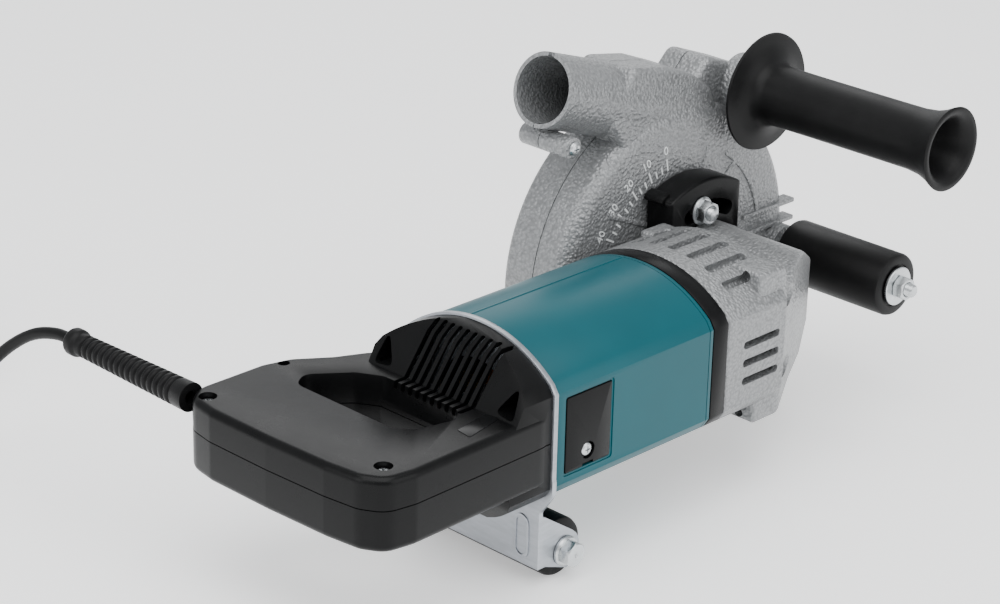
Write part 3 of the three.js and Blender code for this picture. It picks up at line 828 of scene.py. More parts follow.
@dataclass
class Screw:
    """A cross-head screw with a domed head."""

    head: float = 4.6
    height: float = 2.6
    recess: float = 1.7

    def build(self, name: str, axis: Axis, at: tuple[float, float], seat: float,
              facing: float) -> bpy.types.Object:
        """The head and a short shank.

        Args:
            name: the piece's name.
            axis: direction of the screw.
            at: cross coordinates of its axis.
            seat: where its head rests.
            facing: +1 or -1, the way that the head faces along the axis.

        Returns:
            The screw.
        """
        r, h = self.head, self.height
        profile = [(0, -6.0), (r * 0.45, -6.0), (r * 0.45, 0), (r, 0), (r, h * 0.35), (r * 0.86, h * 0.72),
                   (r * 0.55, h * 0.95), (0, h)]
        screw = Bench.lathe(name, [(radius, seat + facing * up) for radius, up in profile], axis, at, 32)
        slots = []
        for i in range(2):
            half = [self.recess * 0.28, self.recess * 0.28]
            half[i] = self.recess * 1.25
            low = axis.point(at[0] - half[0], at[1] - half[1], seat + facing * h * 0.3)
            high = axis.point(at[0] + half[0], at[1] + half[1], seat + facing * (h + 1))
            corners = [[min(a, b), max(a, b)] for a, b in zip(low, high)]
            slots.append(Bench.block("slot", [c[0] for c in corners], [c[1] for c in corners]))
        Bench.cut(screw, *slots)
        return Bench.soften(screw, 0.0)


@dataclass
class MotorHousing:
    """Teal moulded shell with a brush window on each side."""

    rear: float = -228.3
    front: float = -103.8
    wall: float = 4.0
    window_x: tuple[float, float] = (-221.0, -185.5)
    window_z: tuple[float, float] = (-22.0, 22.5)
    screw: tuple[float, float] = (-203.2, -13.0)
    step_y: float = 10.5

    def build(self, store: Store) -> None:
        """Shell, covers and cover screws."""
        shell = Bench.prism("housing_shell", SECTION.outline(), Axis.X, self.rear, self.front)
        Bench.soften(shell, 0.9, 2, 60)
        bore = Bench.prism("bore", SECTION.outline(self.wall), Axis.X, self.rear - 2, self.front + 2)
        (x0, x1), (z0, z1) = self.window_x, self.window_z
        window = rounded([(x0, z0), (x1, z0), (x1, z1), (x0, z1)], 1.6)
        Bench.cut(shell, bore, Bench.prism("window", window, Axis.Y, -70, 70))
        lip = Bench.prism("lip", rounded([(x0 - 1.3, z0 - 1.3), (x1 + 1.3, z0 - 1.3), (x1 + 1.3, z1 + 1.3),
                                          (x0 - 1.3, z1 + 1.3)], 2.4), Axis.Y, -70, -55.4)
        far_lip = Bench.twin(lip, "far_lip", (0, 125.4, 0))
        seam = Bench.prism("seam", SECTION.outline(-1.0), Axis.X, self.front - 3.4, self.front - 2.9)
        seam_core = Bench.prism("seam_core", SECTION.outline(0.35), Axis.X, self.front - 5, self.front - 1)
        Bench.cut(shell, lip, far_lip, Bench.cut(seam, seam_core))
        Bench.soften(shell, 0.0, sharpest=28)
        store.book(shell, "teal_plastic", "motor_unit", ["motor_housing"])
        self.step(store)
        for side in Side:
            self.cover(side, store)

    def step(self, store: Store) -> None:
        """Low moulded step that runs along the top of the shell."""
        rest = math.sqrt(SECTION.arch_radius() ** 2 - self.step_y ** 2) - SECTION.flat_half
        ridge = Bench.prism("housing_top_step", rounded([
            (self.step_y - 1.1, rest - 1.2), (self.step_y + 1.3, rest - 1.2),
            (self.step_y + 0.7, rest + 0.35), (self.step_y - 0.7, rest + 0.55),
        ], 0.4, 2), Axis.X, self.rear + 1.5, self.front - 4)
        Bench.soften(ridge, 0.0)
        store.book(ridge, "teal_plastic", "motor_unit")

    def cover(self, side: Side, store: Store) -> None:
        """One brush cover with its screw.

        Args:
            side: which side of the motor.
            store: where the pieces are booked.
        """
        label = side.name.lower()
        face = side.value * SECTION.half_width
        gap = 0.45
        (x0, x1), (z0, z1) = self.window_x, self.window_z
        edge = rounded([
            (x0 + gap, z0 + gap), (x1 - gap, z0 + gap), (x1 - gap, z1 - gap), (x0 + gap, z1 - gap),
        ], 1.4)
        cover = Bench.prism(f"{label}_brush_plate", edge, Axis.Y, *sorted((face, face - side.value * 3.4)))
        Bench.soften(cover, 0.6, 2, 60)
        well = Bench.rod("well", Axis.Y, self.screw, 5.0, face - side.value * 1.9, face + side.value)
        pry = Bench.block("pry", (self.screw[0] - 4.2, min(face, face - side.value * 1.4) - 0.3, z0 - 1),
                          (self.screw[0] + 4.2, max(face, face - side.value * 1.4) + 0.3, z0 + 2.2))
        Bench.cut(cover, well, pry)
        Bench.soften(cover, 0.0)
        store.book(cover, "black_plastic", "motor_unit", [f"{label}_brush_cover"])
        screw = Screw(3.9, 1.7, 1.5).build(
            f"{label}_brush_plate_screw", Axis.Y, self.screw, face - side.value * 1.8, side.value)
        store.book(screw, "zinc", "motor_unit", [f"{label}_brush_cover_screw"])


# ---- Gear case ----
@dataclass
class GearCase:
    """Hammer-painted casting: a finned block behind a nose that carries the spindle."""

    rear: float = -91.0
    shoulder: float = -40.0
    nose: float = 37.0
    left: float = 40.0
    hub: float = 34.5
    boss: float = 35.0
    boss_end: float = 66.0
    slot_count: int = 7
    slot_pitch: float = 10.0
    slot_half: float = 2.9
    slot_depth: float = 5.0
    slot_rear: float = -79.0
    side_slot_half: float = 2.3
    side_slots: tuple[float, ...] = (-13.0, -2.0, 9.0)
    screw_y: float = -45.0
    screw_z: float = 22.0
    ring_rear: float = -103.5
    ring_front: float = -91.3
    vent_ring: float = 31.0

    def nose_body(self, inset: float) -> bpy.types.Object:
        """The nose: a hub about the spindle, flat in front and narrowing to the right.

        Args:
            inset: how far inside the outer surface.

        Returns:
            The nose as a solid.
        """
        neck = SECTION.flat_half + 17 - inset
        hub = self.hub - inset
        tip = self.nose - inset
        left = self.left - inset
        front = polar(hub, 58)
        side = [
            (self.shoulder - 20, -neck), (self.shoulder, -neck), (-12, inset - 38), (front[0], inset - 36),
            (tip, inset * 0.6 - 22), (tip, 18 - inset * 0.6), *arc((0, 0), hub, 58, 130, 14),
            (self.shoulder, neck), (self.shoulder - 20, neck),
        ]
        plan = [(self.shoulder - 20, inset - 52), (self.shoulder + 2, inset - 52), (tip, inset * 0.6 - 11),
                (tip, left), (self.shoulder - 20, left)]
        body = Bench.prism("nose", side, Axis.Y, -60, 60)
        return Bench.keep(body, Bench.prism("plan", plan, Axis.Z, -70, 70))

    def slots(self) -> list[bpy.types.Object]:
        """Cooling slots over both arches and along the right side."""
        cutters = []
        crown = SECTION.arch_radius() - SECTION.flat_half
        for i in range(self.slot_count):
            front = self.shoulder - (14 if i in (0, self.slot_count - 1) else 6)
            for turn in (0, 180):
                slot = Bench.block("slot", (self.slot_rear, -self.slot_half, crown - self.slot_depth),
                                   (front, self.slot_half, crown + 4))
                Bench.soften(slot, 2.0, 4)
                Bench.swing(slot, Axis.X, (i - (self.slot_count - 1) / 2) * self.slot_pitch,
                            (0, 0, -SECTION.flat_half))
                cutters.append(Bench.swing(slot, Axis.X, turn, (0, 0, 0)))
        rear, front = self.slot_rear + 2, self.shoulder - 6
        half = self.side_slot_half
        for z in self.side_slots:
            for low, high in ((-60.0, -48.5), (48.5, 60.0)):
                slot = Bench.block("slot", (rear, low, z - half), (front, high, z + half))
                cutters.append(Bench.soften(slot, 1.9, 4))
        return cutters

    def build(self, store: Store) -> None:
        """The casting, its seal ring and its screws."""
        self.casting(store)
        self.ring(store)
        for label, z in (("upper", self.screw_z), ("lower", -self.screw_z)):
            screw = Screw(4.7, 3.4, 1.9).build(
                f"{label}_casting_screw", Axis.X, (self.screw_y, z), self.shoulder - 2.8, 1.0)
            store.book(screw, "zinc", "motor_unit", [f"{label}_case_screw"])

    def casting(self, store: Store) -> None:
        """The finned block and its nose, hollow inside."""
        block = Bench.prism("gear_casting", SECTION.outline(), Axis.X, self.rear, self.shoulder)
        Bench.soften(block, 1.6, 3, 60)
        nose = Bench.soften(self.nose_body(0.0), 2.6, 4, 24)
        Bench.weld(block, nose, Bench.rod("boss", Axis.Y, (0, 0), self.boss, 30, self.boss_end, 72))
        Bench.cut(block, *self.slots())
        for z in (-self.screw_z, self.screw_z):
            pocket = Bench.rod("pocket", Axis.X, (self.screw_y, z), 5.6, self.shoulder - 3, self.nose)
            Bench.cut(block, pocket)
        hollow = self.nose_body(3.6)
        Bench.keep(hollow, Bench.block("ahead", (self.shoulder - 5, -70, -80), (self.nose, 90, 80)))
        Bench.cut(
            block,
            Bench.prism("cavity", SECTION.outline(6.5), Axis.X, self.rear - 2, self.shoulder - 4),
            hollow,
            Bench.rod("bearing_bore", Axis.Y, (0, 0), 20.3, 20, self.boss_end - 6, 72),
            Bench.rod("spindle_bore", Axis.Y, (0, 0), 12, 20, self.boss_end + 2),
            Bench.rod("end_bearing_seat", Axis.Y, (0, 0), 13.3, -17.3, 0),
        )
        Bench.soften(block, 0.0, sharpest=30)
        store.book(block, "hammered_silver", "motor_unit", ["gear_case"])

    def ring(self, store: Store) -> None:
        """The seal ring, with the rotor's hole and six air vents."""
        ring = Bench.prism("seal_ring", SECTION.outline(), Axis.X, self.ring_rear, self.ring_front)
        Bench.soften(ring, 0.7, 2, 60)
        low, high = self.ring_rear - 6.5, self.ring_front + 6.3
        vents = [polar(self.vent_ring, 60 * i) for i in range(6)]
        Bench.cut(ring, Bench.rod("hole", Axis.X, (0, 0), 16.3, low, high),
                  *[Bench.rod("vent", Axis.X, at, 8, low, high, 32) for at in vents])
        Bench.soften(ring, 0.0)
        store.book(ring, "black_plastic", "motor_unit", ["bearing_plate"])


# ---- Depth clamp ----
@dataclass
class DepthClamp:
    """Black clamp block with the curved slot that sets the cutting depth."""

    near: float = 40.5
    far: float = 60.3
    half_width: float = 31.0
    outer: float = 62.0
    foot: float = 18.0
    slot_radius: float = 44.0
    slot_half: float = 4.7
    slot_ends: tuple[float, float] = (64.3, 109.3)
    rest_angle: float = 96.3

    def build(self, store: Store) -> None:
        """The block, its pointer, the stud and the nut."""
        tilt = math.degrees(math.acos(self.half_width / self.outer))
        block = Bench.prism("clamp_block", [
            (self.half_width, self.foot), *arc((0, 0), self.outer, tilt, 180 - tilt, 24),
            (-self.half_width, self.foot),
        ], Axis.Y, self.near, self.far)
        Bench.soften(block, 1.6, 3, 50)
        low, high = self.slot_ends
        ends = [polar(self.slot_radius, a) for a in (low, high)]
        slot = [
            *arc((0, 0), self.slot_radius + self.slot_half, low, high, 20)[:-1],
            *arc(ends[1], self.slot_half, high, high + 180, 10)[:-1],
            *arc((0, 0), self.slot_radius - self.slot_half, high, low, 20)[:-1],
            *arc(ends[0], self.slot_half, low + 180, low + 360, 10)[:-1],
        ]
        pointer = Bench.prism("pointer", [
            (-self.half_width - 3, 54), (-self.half_width - 1.5, 56), (-self.half_width + 4, 58),
            (-self.half_width + 6, 50), (-self.half_width - 1.5, 52),
        ], Axis.Y, self.near + 6, self.far)
        Bench.weld(block, pointer)
        Bench.cut(block, Bench.prism("slot", slot, Axis.Y, self.near - 2, self.far + 2),
                  Bench.rod("seat", Axis.Y, (0, 0), 35.3, self.near - 2, self.far + 2, 96))
        Bench.soften(block, 0.4, 2, 50)
        store.book(block, "black_plastic", "motor_unit", ["depth_clamp"])

        at = polar(self.slot_radius, self.rest_angle)
        stud = Hardware.threaded("swing_stud", at, 4.0, self.near - 11, 69.0)
        store.book(stud, "zinc", "hood", ["depth_stud"])
        nut = Hardware.nut("swing_nut", at, 7.4, self.near - 8.2, self.near - 1.8, 4.05)
        skirt = Bench.lathe("skirt", [(4.3, self.near - 2.2), (7.6, self.near - 2.2), (8.6, self.near - 1.2),
                                      (8.6, self.near - 0.35), (4.3, self.near - 0.35)], Axis.Y, at, 48)
        nut = Bench.soften(Bench.weld(nut, skirt), 0.0)
        store.book(nut, "zinc", "hood", ["depth_nut"])


class Hardware:
    """Studs and nuts."""

    @staticmethod
    def threaded(name: str, at: tuple[float, float], radius: float, low: float, high: float,
                 pitch: float = 1.25, exposed: float = 12.0) -> bpy.types.Object:
        """A stud along Y with thread grooves near its low end.

        Args:
            name: the piece's name.
            at: its (x, z).
            radius: its radius.
            low: its right end.
            high: its left end.
            pitch: distance between the grooves.
            exposed: length that carries grooves.

        Returns:
            The stud.
        """
        profile: Outline = [(0, low), (radius - 0.9, low), (radius - 0.1, low + 0.8)]
        turns = int(exposed / pitch)
        for i in range(turns):
            y = low + 0.9 + i * pitch
            profile += [(radius, y + pitch * 0.2), (radius - 0.55, y + pitch * 0.6)]
        profile += [(radius, low + 1.0 + turns * pitch), (radius, high), (0, high)]
        return Bench.soften(Bench.lathe(name, profile, Axis.Y, at, 40), 0.0, sharpest=50)

    @staticmethod
    def nut(name: str, at: tuple[float, float], radius: float, low: float, high: float,
            bore: float) -> bpy.types.Object:
        """A hexagon nut along Y with chamfered faces.

        Args:
            name: the piece's name.
            at: its (x, z).
            radius: radius over its corners.
            low: its right face.
            high: its left face.
            bore: radius of its hole.

        Returns:
            The nut.
        """
        nut = Bench.rod(name, Axis.Y, at, radius, low, high, 6)
        dome = Bench.lathe("dome", [(0, low), (radius * 0.84, low), (radius * 1.01, low + 1.0),
                                    (radius * 1.01, high - 0.8), (radius * 0.86, high), (0, high)],
                           Axis.Y, at, 60)
        Bench.keep(nut, dome)
        hole = [(0, low - 1), (bore + 0.9, low - 1), (bore + 0.9, low), (bore, low + 0.9), (bore, high + 1),
                (0, high + 1)]
        Bench.cut(nut, Bench.lathe("hole", hole, Axis.Y, at, 40))
        return Bench.soften(nut, 0.15, 2, 40)


# ---- Blade hood ----
@dataclass
class Hood:
    """Two-part cast hood over the blades, with its dust port, depth scale and lugs."""

    near: float = 61.0
    far: float = 108.0
    seam: float = 84.0
    radius: float = 103.0
    edge: float = 10.0
    far_edge: float = 5.0
    wall: float = 3.5
    sill: float = -32.0
    bore: float = 35.5
    boss: tuple[float, float] = (-94.0, 98.0)
    port: tuple[float, float] = (-98.0, 128.5)
    port_rise: float = 18.4
    port_outer: float = 22.0
    port_inner: float = 19.5
    port_length: float = 75.0
    handle_at: tuple[float, float] = (57.0, 102.0)
    axle_at: tuple[float, float] = (92.0, -8.4)
    stud_at: tuple[float, float] = (-4.83, 43.73)
    scale_inner: float = 66.0
    scale_start: float = 101.0
    scale_pitch: float = 4.2
    mark_half: float = 0.55
    figure_size: float = 7.5

    def drum(self, inset: float) -> bpy.types.Object:
        """The round body about the spindle, rounded towards its near face."""
        r = self.radius - inset
        near, far = self.near + inset, self.far - inset
        corner = arc((r - self.edge, near + self.edge), self.edge, -90, 0, 6)
        soft = arc((r - self.far_edge, far - self.far_edge), self.far_edge, 0, 90, 5)
        return Bench.lathe("drum", [(0, near), *corner, *soft, (0, far)], Axis.Y, (0, 0), 120)

    def duct(self, inset: float) -> bpy.types.Object:
        """The box that leads from the drum up into the port."""
        shape = rounded([
            (-60, 102 + inset), (-44, 134 - inset), (-13, 128 - inset), (10, 119 - inset), (27, 107 - inset),
            (32 - inset, 94), (40 - inset, 70), (-40, 70),
        ], 6 - inset)
        return Bench.prism("duct", shape, Axis.Y, self.near + 2 + inset, self.far - 4 - inset)

    def pipe(self, radius: float, extra: float, steps: int = 64) -> bpy.types.Object:
        """A round bar on the port's axis.

        Args:
            radius: its radius.
            extra: how far it runs past the mouth.
            steps: facets round it.

        Returns:
            The bar.
        """
        bar = Bench.rod("pipe", Axis.X, (self.seam, self.port[1]), radius, self.port[0] - extra,
                        self.port[0] + self.port_length, steps)
        return Bench.swing(bar, Axis.Y, self.port_rise, (self.port[0], self.seam, self.port[1]))

    def body(self, inset: float) -> bpy.types.Object:
        """Drum, duct and pipe as one solid."""
        if inset > 0:
            return Bench.weld(self.drum(inset), self.duct(inset), self.pipe(self.port_inner, 4.0))
        duct = Bench.soften(self.duct(0), 9.0, 6, 60)
        outer = Bench.weld(self.drum(0), duct, self.pipe(self.port_outer, 0.0))
        lug = Bench.prism("lug", rounded([
            (8, 100), (13, 113), (26, 125.5), (58, 113.5), (71, 107), (82, 66), (20, 66),
        ], 7), Axis.Y, self.near + 5, self.far - 8)
        return Bench.weld(outer, Bench.soften(lug, 4.5, 4, 60))

    def ribs(self) -> list[bpy.types.Object]:
        """Raised ribs of the near face."""
        proud = self.near - 0.9
        deep = self.near + 2.5
        runs = [((24, 72), (16, 48), 3.0), ((50, 57), (35, 43), 3.0), ((-63, 49), (-22, 32), 3.0)]
        ribs = []
        for (x0, z0), (x1, z1), width in runs:
            across = Vector((z1 - z0, x0 - x1)).normalized() * width / 2
            ribs.append(Bench.prism("rib", [
                (x0 + across.x, z0 + across.y), (x1 + across.x, z1 + across.y),
                (x1 - across.x, z1 - across.y), (x0 - across.x, z0 - across.y),
            ], Axis.Y, proud, deep))
        sweep = [*arc((0, 0), 76.5, 12, 58, 16), *arc((0, 0), 73.5, 58, 12, 16)]
        ribs.append(Bench.prism("arc_rib", sweep, Axis.Y, proud, deep))
        ribs.append(Bench.prism("collar", arc((0, 0), 42, 0, 360, 72)[:-1], Axis.Y, proud, deep))
        for z in (16.5, 5.0):
            ribs.append(Bench.block("guide", (59, self.near - 2, z - 1.5), (107.5, self.near + 7, z + 1.5)))
        return [Bench.soften(rib, 0.7, 2, 50) for rib in ribs]

    def build(self, store: Store) -> None:
        """Both halves of the hood and its scale."""
        shell = Bench.weld(
            self.body(0.0),
            *self.ribs(),
            Bench.soften(
                Bench.rod("axle_boss", Axis.Y, self.axle_at, 13, self.near - 9, self.near + 7), 1.2, 3),
            Bench.soften(Bench.rod("handle_boss", Axis.Y, self.handle_at, 19, 51.8, self.near + 8), 1.0, 2),
            Bench.soften(
                Bench.rod("bolt_boss", Axis.Y, self.boss, 6.5, self.near + 1, self.far - 8, 40), 1.0, 2),
        )
        Bench.cut(
            shell,
            self.body(self.wall),
            Bench.rod("spindle_hole", Axis.Y, (0, 0), self.bore, self.near - 5, self.near + 10, 96),
            Bench.rod("nut_hole", Axis.Y, (0, 0), 26, self.far - 12, self.far + 5, 72),
            Bench.block("open_foot", (-150, self.near - 15, -150), (150, self.far + 5, self.sill)),
            Bench.rod("axle_hole", Axis.Y, self.axle_at, 4.2, self.near - 12, self.near + 20, 40),
            Bench.rod("bolt_hole", Axis.Y, self.handle_at, 5.2, self.near - 14, self.near + 16, 40),
            Bench.rod("stud_hole", Axis.Y, self.stud_at, 4.2, self.near - 2, self.near + 12, 40),
        )
        x = self.port[0]
        notches = [
            Bench.block("notch", (x - 3, self.seam - 2.2, z), (x + 9, self.seam + 2.2, z + 9))
            for z in (self.port[1] + 15.5, self.port[1] - 25.5)
        ]
        Bench.cut(shell, *notches)
        near_half = Bench.twin(shell, "hood_near_half", (0, 0, 0))
        Bench.keep(near_half, Bench.block("near", (-200, 20, -200), (200, self.seam - 0.3, 200)))
        Bench.keep(shell, Bench.block("far", (-200, self.seam + 0.3, -200), (200, 130, 200)))
        shell.name = "hood_far_half"
        for half, node in ((near_half, "hood_inner_half"), (shell, "hood_outer_half")):
            Bench.soften(half, 0.0, sharpest=32)
            store.book(half, "hammered_silver", "hood", [node])
        self.scale(store)
        self.fixings(store)

    def scale(self, store: Store) -> None:
        """Depth marks and figures printed on the near face."""
        marks = []
        for i in range(13):
            ray = Vector(polar(1.0, self.scale_start + i * self.scale_pitch))
            long = 7.5 if i % 3 == 0 else 4.5
            inner, outer = self.scale_inner, self.scale_inner + long
            across = Vector((-ray.y, ray.x)) * self.mark_half
            corners = [ray * inner + across, ray * outer + across, ray * outer - across, ray * inner - across]
            marks.append(
                Bench.prism("mark", [tuple(c) for c in corners], Axis.Y, self.near - 0.15, self.near + 0.2))
        for i in range(5):
            angle = self.scale_start + i * 3 * self.scale_pitch
            marks.append(self.figure(str(i * 10), polar(self.scale_inner + 13, angle), angle - 90))
        print_on = Bench.group("depth_scale", *marks)
        store.book(print_on, "white_print", "hood")

    def figure(self, text: str, spot: tuple[float, float], lean: float) -> bpy.types.Object:
        """A short figure printed on the near face.

        Args:
            text: what it says.
            spot: its middle in (x, z).
            lean: its turn in the face's plane, in degrees.

        Returns:
            The figure as a mesh.
        """
        Bench.release()
        bpy.ops.object.text_add(location=world((spot[0], self.near - 0.12, spot[1])),
                                rotation=(math.pi / 2, 0, 0))
        label = bpy.context.view_layer.objects.active
        label.data.body = text
        label.data.size = self.figure_size * MM
        label.data.extrude = 0.12 * MM
        label.data.align_x = "CENTER"
        label.data.align_y = "CENTER"
        bpy.ops.object.convert(target="MESH")
        label = Bench.settle("figure")
        return Bench.swing(label, Axis.Y, -lean, (spot[0], self.near, spot[1]))

    def fixings(self, store: Store) -> None:
        """The screw under the port that holds the halves together."""
        screw = Screw(4.2, 2.2, 1.7).build("hood_screw_0", Axis.Y, self.boss, self.near + 0.8, -1.0)
        store.book(screw, "zinc", "hood")


# ---- Blades ----
@dataclass
class Blades:
    """Two segmented diamond blades on the spindle and their clamp nut; the flange and spacer stay as they are
    in the frame.
    """

    radius: float = 90.0
    thick: float = 2.4
    inner: float = 70.3
    outer: float = 95.3
    bore: float = 11.1
    segments: int = 12
    rim: float = 9.0

    def blade(self, stock: Stock, name: str, near: float) -> bpy.types.Object:
        """One blade: a steel core with slots between its segments.

        Args:
            stock: the finishes.
            name: the piece's name.
            near: its right face.

        Returns:
            The blade, cores and segments.
        """
        core = Bench.lathe("core", [(self.bore, near + 0.4), (self.radius - self.rim, near + 0.4),
                                    (self.radius - self.rim, near + self.thick - 0.4),
                                    (self.bore, near + self.thick - 0.4)], Axis.Y, (0, 0), 120)
        band = Bench.lathe("band", [
            (self.radius - self.rim, near), (self.radius, near), (self.radius, near + self.thick),
            (self.radius - self.rim, near + self.thick),
        ], Axis.Y, (0, 0), 144)
        for i in range(self.segments):
            for part in (core, band):
                slot = Bench.block("slot", (self.radius - self.rim - 9, near - 1, -1.3),
                                   (self.radius + 2, near + self.thick + 1, 1.3))
                Bench.cut(part, Bench.swing(slot, Axis.Y, i * 360 / self.segments, (0, 0, 0)))
        stock.dress(core, "blade_steel")
        stock.dress(band, "diamond_grit")
        blade = Bench.group(name, core, band)
        return Bench.soften(blade, 0.0)

    def build(self, store: Store) -> None:
        """Both blades and what clamps them."""
        pair = (("near_blade", self.inner, "inner_blade"), ("far_blade", self.outer, "outer_blade"))
        for name, near, node in pair:
            blade = self.blade(store.stock, name, near)
            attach(blade, "blade_spindle")
            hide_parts(node)
        back = self.outer + self.thick + 0.3
        nut = Bench.lathe("clamp_nut", [
            (8.3, back), (21, back), (22, back + 1), (22, back + 5.6), (20.6, back + 7), (8.3, back + 7),
        ], Axis.Y, (0, 0), 72)
        for i in range(4):
            Bench.cut(nut, Bench.rod("pin_hole", Axis.Y, polar(15, 45 + 90 * i), 2.5, back + 2, back + 9, 24))
        Bench.soften(nut, 0.0)
        store.book(nut, "turned_steel", "blade_spindle", ["blade_nut"])


# ---- Rollers and side handle ----
@dataclass
class Roller:
    """A guide roller: a rubber sleeve with chamfered ends."""

    at: tuple[float, float]
    ends: tuple[float, float]
    radius: float
    bore: float = 4.3

    def build(self, name: str) -> bpy.types.Object:
        """The sleeve."""
        y0, y1 = self.ends
        r = self.radius
        profile: Outline = [
            (self.bore, y0 + 0.8), (r - 6.5, y0 + 0.8), (r - 6.2, y0), (r - 2.2, y0), (r - 0.6, y0 + 0.8),
            (r, y0 + 2.4), (r, y1 - 2.4), (r - 0.6, y1 - 0.8), (r - 2.2, y1), (r - 6.2, y1),
            (r - 6.5, y1 - 0.8), (self.bore, y1 - 0.8),
        ]
        return Bench.soften(Bench.lathe(name, profile, Axis.Y, self.at, 72), 0.0, sharpest=40)


@dataclass
class Fittings:
    """Front roller with its axle, and the side handle with its bolt."""

    axle_at: tuple[float, float] = (92.0, -8.4)
    roller_ends: tuple[float, float] = (-34.0, 44.5)
    handle_at: tuple[float, float] = (57.0, 102.0)
    handle_end: float = -90.0
    grip: float = 18.2

    def build(self, store: Store) -> None:
        """All of them."""
        sleeve = Roller(self.axle_at, self.roller_ends, 19.5).build("front_sleeve")
        store.book(sleeve, "black_rubber", "front_roller", ["front_roller"])
        y0, y1 = self.roller_ends
        axle = Hardware.threaded("front_spigot", self.axle_at, 4.0, y0 - 14, 68.0, exposed=11)
        shoulder = Bench.lathe("shoulder", [
            (0, y1 + 0.4), (6.6, y1 + 0.4), (7.5, y1 + 1.2), (7.5, 51.5), (0, 51.5),
        ], Axis.Y, self.axle_at, 48)
        Bench.soften(Bench.weld(axle, shoulder), 0.0)
        store.book(axle, "zinc", "hood", ["front_axle"])
        washer = Bench.lathe("front_disc", [(4.3, y0 - 2.4), (11.5, y0 - 2.4), (12, y0 - 2), (12, y0 - 0.8),
                                            (11.5, y0 - 0.4), (4.3, y0 - 0.4)], Axis.Y, self.axle_at, 64)
        Bench.soften(washer, 0.0)
        store.book(washer, "zinc", "hood", ["front_axle_washer"])
        nut = Hardware.nut("front_nut", self.axle_at, 7.4, y0 - 9.5, y0 - 2.7, 4.05)
        store.book(nut, "zinc", "hood", ["front_axle_nut"])
        self.side_handle(store)

    def side_handle(self, store: Store) -> None:
        """Rubber grip with a broad hand guard and a flared hollow end."""
        end, g = self.handle_end, self.grip
        profile: Outline = [
            (0, 51.5), (11.6, 51.5), (12, 51.1), (12, 49), (34.6, 48.4), (36, 47.2), (35.7, 45.9), (30, 45.0),
            (g + 4.2, 43.0), (g + 1.2, 40.0), (g + 0.1, 35.0), (g - 0.1, 10), (g - 0.1, -45), (g, end + 24),
            (g + 1.2, end + 14), (g + 3.6, end + 7), (g + 6.0, end + 2.4), (g + 6.7, end + 0.8),
            (g + 5.8, end), (g + 3.0, end + 0.3), (g + 0.4, end + 2.2), (g - 2.6, end + 7),
            (g - 5.0, end + 14), (g - 7.8, end + 19), (0, end + 20),
        ]
        handle = Bench.lathe("side_grip", profile, Axis.Y, self.handle_at, 96)
        Bench.soften(handle, 0.0, sharpest=50)
        store.book(handle, "black_rubber", "hood", ["side_handle"])
        bolt = Bench.lathe("side_grip_bolt", [(0, 51.8), (5, 51.8), (5, 74.6), (4.2, 75.5), (0, 75.5)],
                           Axis.Y, self.handle_at, 40)
        Bench.soften(bolt, 0.0)
        store.book(bolt, "turned_steel", "hood", ["side_handle_bolt"])


